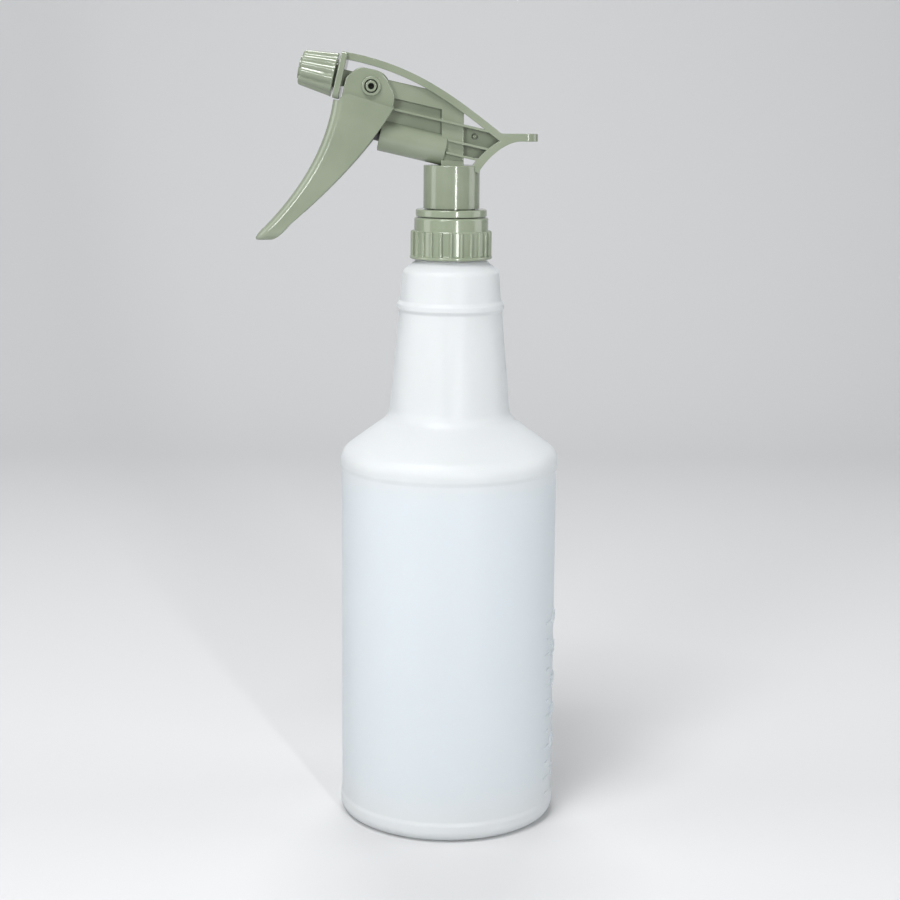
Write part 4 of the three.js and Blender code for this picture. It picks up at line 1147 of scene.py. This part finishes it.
def loft(name, sections):
    """Wires drawn round each section and bridged in order into one closed skin."""
    wires = []
    for section in sections:
        wire = draw(name, section)
        with editing(wire):
            bpy.ops.mesh.edge_face_add()
            bpy.ops.mesh.delete(type="ONLY_FACE")
        wires.append(wire)
    skin = one_mesh(wires)
    with editing(skin, "EDGE"):
        bpy.ops.mesh.bridge_edge_loops(type="SINGLE")
        bpy.ops.mesh.select_all(action="DESELECT")
        bpy.ops.mesh.select_non_manifold(extend=False, use_boundary=True)
        bpy.ops.mesh.edge_face_add()
        tidy_shell()
    return skin


def lever_width(t):
    return lever_half + (tip_half - lever_half) * t


def lever_ends(t):
    """The front and the rear edge's places at a share of the lever's length."""
    return quadratic(*front_edge, t), quadratic(*rear_edge, t)


# %% Lever
# The skin starts above the lever's shoulder, and the shoulder is cut to its line afterwards.
stations, skin_start, tip_start = 20, -0.1, 0.955
tip_front, tip_rear = lever_ends(tip_start)
outside, inside = [], []
for i in range(stations + 1):
    t = skin_start + (tip_start - skin_start) * i / stations
    front, rear = lever_ends(t)
    outside.append(lever_section(front, rear, lever_width(t), lever_corner))
tip_push = tilt(-3.7, -6.4) - tilt(0, 0)
for share in (0.2, 0.4, 0.58, 0.72, 0.83, 0.91, 0.965, 0.995):
    shrink = math.sqrt(1 - share**4)
    middle = (tip_front + tip_rear) / 2 + tip_push * share
    reach = (tip_rear - tip_front) / 2 * (0.5 + 0.5 * shrink) * 1.04
    half = lever_width(tip_start) * (0.55 + 0.45 * shrink) - 0.3 * share
    outside.append(lever_section(middle - reach, middle + reach, half, lever_corner))
lever = loft("lever", outside)
for i in range(stations + 1):
    t = skin_start - 0.05 + 1.0 * i / stations
    front, rear = lever_ends(t)
    inward = (rear - front).normalized() * lever_wall * MM
    half = lever_width(t) - lever_wall
    inside.append(lever_section(front + inward, rear, half, lever_corner - lever_wall, reach=4))
shoulder_line = [(-6, -9.3), (2.9, -9.3), (3.4, -8.0), (4.2, -6.6), (5.8, -5.8), (32, -7.6)]
above_line = [(32, 14), (-6, 14)]
above_places = [tilt(along, up) for along, up in shoulder_line + above_line]
above_shoulder = slab("above_shoulder", above_places, -12, 12)
cut_away(lever, loft("lever_hollow", inside), above_shoulder)
ease(lever, 0.5, 4, angle=55)
print("lever:", len(lever.data.polygons), "faces")

# %% Ears and pivot rings
ear_low, ear_high = 6.2, 7.8
ear_corners = [
    (3.7, -12),
    (3.7, 0.2, 3.5),
    (7.9, 5.3, 4.5),
    (17.4, 5.5, 6.5),
    (24.2, -2.6, 7),
    (24.1, -8.8, 3),
    (17.0, -19),
    (3.7, -18),
]
ear_outline = [tilt(along, up) for along, up in rounded(ear_corners, 9, closed=True)]
hole_radius, ring_radius, ring_top = 2.7, 3.8, ear_high + 1.1
pusher_along, pusher_radius, pusher_length = 11.5, 1.6, 16.8
ears = []
for side, name in ((-1, "near"), (1, "far")):
    ear = slab("ear_" + name, ear_outline, *sorted((side * ear_low, side * ear_high)))
    ears.append(ease(ear, 0.5, 4))
    pivot_ring = drum("ring_" + name, ring_radius, ear_low, ring_top, 0, 0.4)
    across(pivot_ring, Vector((0, 0, 0)))
    if side > 0:
        pivot_ring.rotation_euler.z = math.pi
        settle(pivot_ring)
    pivot_ring.location = pivot_place
    ears.append(settle(pivot_ring))


def cross_rod(name, radius, length, place, sides=48):
    """A rod along Y, centred on a place."""
    piece = across(rod(name, radius, length, sides), place)
    piece.location.y = length / 2 * MM
    return settle(piece)


pusher = cross_rod("pusher", pusher_radius, pusher_length, tilt(pusher_along, -pump_drop), 32)
trigger_lever = join_up(lever, *ears, pusher)
cut_away(trigger_lever, cross_rod("hole", hole_radius, 20, pivot_place))
finish(trigger_lever, "trigger", sage, "trigger", angle=35)

# %% [markdown]
# ## The nozzle
# The nozzle cap is a turned cone with twelve rounded lobes for the fingertips. It is turned with
# eight columns of faces to a lobe, and then the columns near each groove are drawn in, each set of
# columns by its own share, so that a lobe is a smooth bulge and a groove is a narrow valley.

# %% Nozzle cap
lobes, columns = 12, 8
nozzle_length, rear_radius, front_radius, nozzle_gap = 13.7, 8.7, 6.9, 1.0
nozzle_front = nozzle_gap + nozzle_length
nozzle_profile = [
    (rear_radius - 0.25, nozzle_gap),
    (rear_radius, nozzle_gap + 0.25),
    (rear_radius - 0.1, nozzle_gap + 1.0),
    (8.1, nozzle_gap + 5),
    (7.5, nozzle_gap + 9.3),
    (front_radius, nozzle_front, 1.1),
    (4.6, nozzle_front, 0.2),
    (4.6, nozzle_front + 0.6, 0.25),
    (1.6, nozzle_front + 0.6, 0.2),
    (0.45, nozzle_front - 0.4),
    (0.45, nozzle_front - 1.5),
    (6.2, nozzle_front - 1.5),
    (6.2, nozzle_gap, 0.3),
]
nozzle = turned("nozzle_knob", nozzle_profile, steps=lobes * columns, arc_step=18)
column_angle = 2 * math.pi / (lobes * columns)
draw_in = {0: 0.915, 1: 0.95, 2: 0.98, 3: 0.994}


def groove_distance(angle):
    """How many columns an angle is from the nearest groove."""
    place = round(angle / column_angle) % columns
    return min(place, columns - place)


with editing(nozzle):
    for distance, share in draw_in.items():
        def in_valley(v, distance=distance):
            radius = math.hypot(v.co.x, v.co.y) / MM
            lobed = radius > 6.4 and v.co.z > (nozzle_gap + 0.9) * MM
            return lobed and groove_distance(math.atan2(v.co.y, v.co.x)) == distance

        pick(nozzle, "vertices", in_valley)
        bpy.ops.transform.resize(value=(share, share, 1), center_override=(0, 0, 0))
join_up(nozzle, thread("nozzle_thread", 6.4, 5.5, nozzle_pitch, 2, 3.4, *fine_rib))
along_spray(nozzle, 0, 0, forward)
finish(nozzle, "nozzle", sage, "nozzle_cap", angle=38)

# %% [markdown]
# ## Inside the sprayer
# The piston shows as a dark stub between the trigger and the pump. The two springs are wire, so each
# is one small circle carried round by the Screw modifier.

# %% Piston and plug
button_at = pusher_along + pusher_radius + slack
piston_head_at, head_thick = pump_front + 4.7, 1.5
piston_rod = turned(
    "piston_rod",
    [
        (0.01, button_at),
        (3.6, button_at, 0.5),
        (3.6, button_at + 1.6, 0.3),
        (2.6, button_at + 1.6, 0.2),
        (2.6, piston_head_at),
        (4.5, piston_head_at, 0.2),
        (4.5, piston_head_at + head_thick, 0.2),
        (1.6, piston_head_at + head_thick),
        (1.6, piston_head_at + 7.0, 0.4),
        (0.01, piston_head_at + 7.0),
    ],
    steps=64,
)
finish(along_spray(piston_rod, 0, -pump_drop), "piston", dark_plastic, "piston")
plug = turned(
    "plug_stud",
    [
        (0.01, -1.5),
        (0.5, -1.5, 0.4),
        (0.9, -1.1, 0.2),
        (0.9, -0.3),
        (1.37, -0.3),
        (1.37, 0.3),
        (0.9, 0.3),
        (0.9, 1.1, 0.2),
        (0.5, 1.5, 0.4),
        (0.01, 1.5),
    ],
    steps=40,
)
finish(across(plug, plug_place), "head", sage, "plug_pin")


# %% Springs
def coil(name, radius, wire, turns, start, end, steps=32):
    """A wire spring about +Z, in mm."""
    select_none()
    bpy.ops.mesh.primitive_circle_add(radius=wire / 2 * MM, vertices=12, fill_type="NGON")
    section = settle(bpy.context.object, name)
    section.matrix_world = Matrix.Translation(Vector((radius * MM, 0, start * MM))) @ Matrix.Rotation(
        math.radians(90), 4, "X"
    )
    settle(section)
    return screw(section, turns, end - start, steps)


stroke, cup_length, spring_wire = 7.4, 2.7, 0.7
spring_start = piston_head_at + head_thick + slack + cup_length + slack + spring_wire / 2
spring_end = pump_back - pump_floor - slack - spring_wire / 2
return_coil = coil("return_coil", 3.6, spring_wire, 7, spring_start, spring_end)
along_spray(return_coil, 0, -pump_drop)
finish(return_coil, "head", steel, "return_spring")
kept = 1 - stroke / (spring_end - spring_start)
tilt(spring_end, -pump_drop)
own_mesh(return_coil)
outlet_low, outlet_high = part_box("outlet_spring")
outlet_start = (spray_start.x - outlet_high.x) / MM / -forward.x + 0.3
outlet_end = (spray_start.x - outlet_low.x) / MM / -forward.x - 0.5
outlet_coil = along_spray(coil("outlet_coil", 1.3, 0.35, 4, outlet_start, outlet_end), 0, 0, forward)
finish(outlet_coil, "head", steel, "outlet_spring")
ball_lift = 1.0
kept = 1 - ball_lift / (outlet_end - outlet_start)
tilt(-outlet_end, 0)
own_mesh(outlet_coil)
print(f"springs: {spring_end - spring_start:.1f} mm and {outlet_end - outlet_start:.1f} mm long")

# %% [markdown]
# ## The dip tube
# The tube hangs from the retainer into the bottle and has taken a gentle set to one side. It is a
# circle carried down a smooth line: the circle is extruded from ring to ring, and Solidify gives it
# its bore.

# %% Dip tube
tube_radius, tube_wall = 3.0, 0.9
tube_top_z, tube_foot_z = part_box("dip_tube")[1].z / MM, 9.2
lean_x, lean_y = -6.3, -3.5
bend_z = flange_low.z / MM - 6
third = (bend_z - tube_foot_z) / 3
low_pull, foot = (lean_x / 2, lean_y / 2, tube_foot_z + third), (lean_x, lean_y, tube_foot_z)
middle_line = [Vector((0, 0, tube_top_z))]
middle_line += bezier((0, 0, bend_z), (0, 0, bend_z - third), low_pull, foot, 30)
select_none()
tube_top = (neck_x, 0, tube_top_z * MM)
bpy.ops.mesh.primitive_circle_add(radius=tube_radius * MM, vertices=48, location=tube_top)
dip = settle(bpy.context.object, "dip_pipe")
with editing(dip):
    for start, end in zip(middle_line, middle_line[1:]):
        push_out((end - start) * MM)
    tidy_shell()
modify(dip, "SOLIDIFY", thickness=tube_wall * MM, offset=-1, use_rim=True)
finish(dip, "head", tube_plastic, "dip_tube", angle=50)

# %% [markdown]
# ## What the design shows as it is
# The rest are small round parts deep inside the sprayer. Their shapes are right already, so each
# design node stays and gets its finish.

# %% Finishes for design nodes
kept_nodes = {
    "neck_gasket": seal_plastic,
    "outlet_seat": seal_plastic,
    "rod_guide": white_plastic,
    "spinner": white_plastic,
    "piston_cup": dark_rubber,
    "piston_wiper": dark_rubber,
    "nozzle_seal": dark_rubber,
    "outlet_ball": steel,
    "inlet_ball": glass,
}
for name, material in kept_nodes.items():
    node = frame["nodes"][name]
    node.data.materials.clear()
    node.data.materials.append(material)
print("design nodes shown:", len(kept_nodes))

# %% [markdown]
# ## The studio
# A pale floor that curves up behind the object, a large soft light above and in front, a narrow one
# beside the camera for the bright line down the round parts, a small one for the lever's bright
# edge, a weaker one on each side, and one high up behind that lights the backdrop.

# %% Floor and backdrop
sweep_radius, floor_front, floor_back, floor_half = 0.5, -1.6, 1.3, 2.4
sweep = rounded([(floor_front, 0), (floor_back, 0, sweep_radius), (floor_back, 2.6)], 6)
floor = draw("studio_floor", [Vector((-floor_half, y, z)) for y, z in sweep])
with editing(floor):
    push_out((2 * floor_half, 0, 0))
    bpy.ops.mesh.normals_make_consistent(inside=False)
only(floor)
bpy.ops.object.shade_smooth()
f = Finish("studio_paper")
paper = f.plastic(base_color=[0.55, 0.555, 0.56, 1], roughness=0.85, specular_ior_level=0.2)
floor.data.materials.append(f.done(paper))
floor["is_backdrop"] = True


# %% Lights
def soft_light(name, place, target, size, power):
    """An area light of a width and height in metres, aimed at a target, with its power in watts."""
    bpy.ops.object.light_add(type="AREA", location=place)
    light = bpy.context.object
    light.name = name
    light.data.shape = "RECTANGLE"
    light.data.size, light.data.size_y = size
    light.data.energy = power
    way = Vector(target) - Vector(place)
    light.rotation_euler = way.to_track_quat("-Z", "Y").to_euler()
    return light


middle = Vector((neck_x, 0, 0.17))
soft_light("key", (-0.32, -0.66, 1.40), middle, (0.6, 0.4), 16)
soft_light("line", (0.42, -1.22, 0.36), middle, (0.05, 0.9), 9)
soft_light("edge", (-0.57, -1.15, 0.55), (-0.03, 0, 0.26), (0.3, 0.3), 6)
soft_light("left", (-1.2, -0.15, 0.55), middle, (0.7, 1.0), 5.5)
soft_light("right", (1.2, 0.05, 0.55), middle, (0.7, 1.0), 5.5)
soft_light("behind", (0.0, 0.62, 1.35), middle, (0.5, 0.2), 7)
world = bpy.data.worlds.new("studio_air")
bpy.context.scene.world = world
world.use_nodes = True
air = world.node_tree.nodes["Background"].inputs
air["Color"].default_value, air["Strength"].default_value = (0.9, 0.93, 1.0, 1), 0.2
bpy.context.scene.view_settings.view_transform = "Standard"

# %% [markdown]
# ## Sizes
# The design's box and the visual model's box are set side by side and the size of each is printed, so
# that they can be compared.

# %% Sizes
visual_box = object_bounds()
sizes = {
    "design": [list(corner) for corner in design_box],
    "visual": [list(corner) for corner in visual_box],
}
for name, (low, high) in sizes.items():
    print(name, [round((b - a) / MM, 2) for a, b in zip(low, high)], "mm")
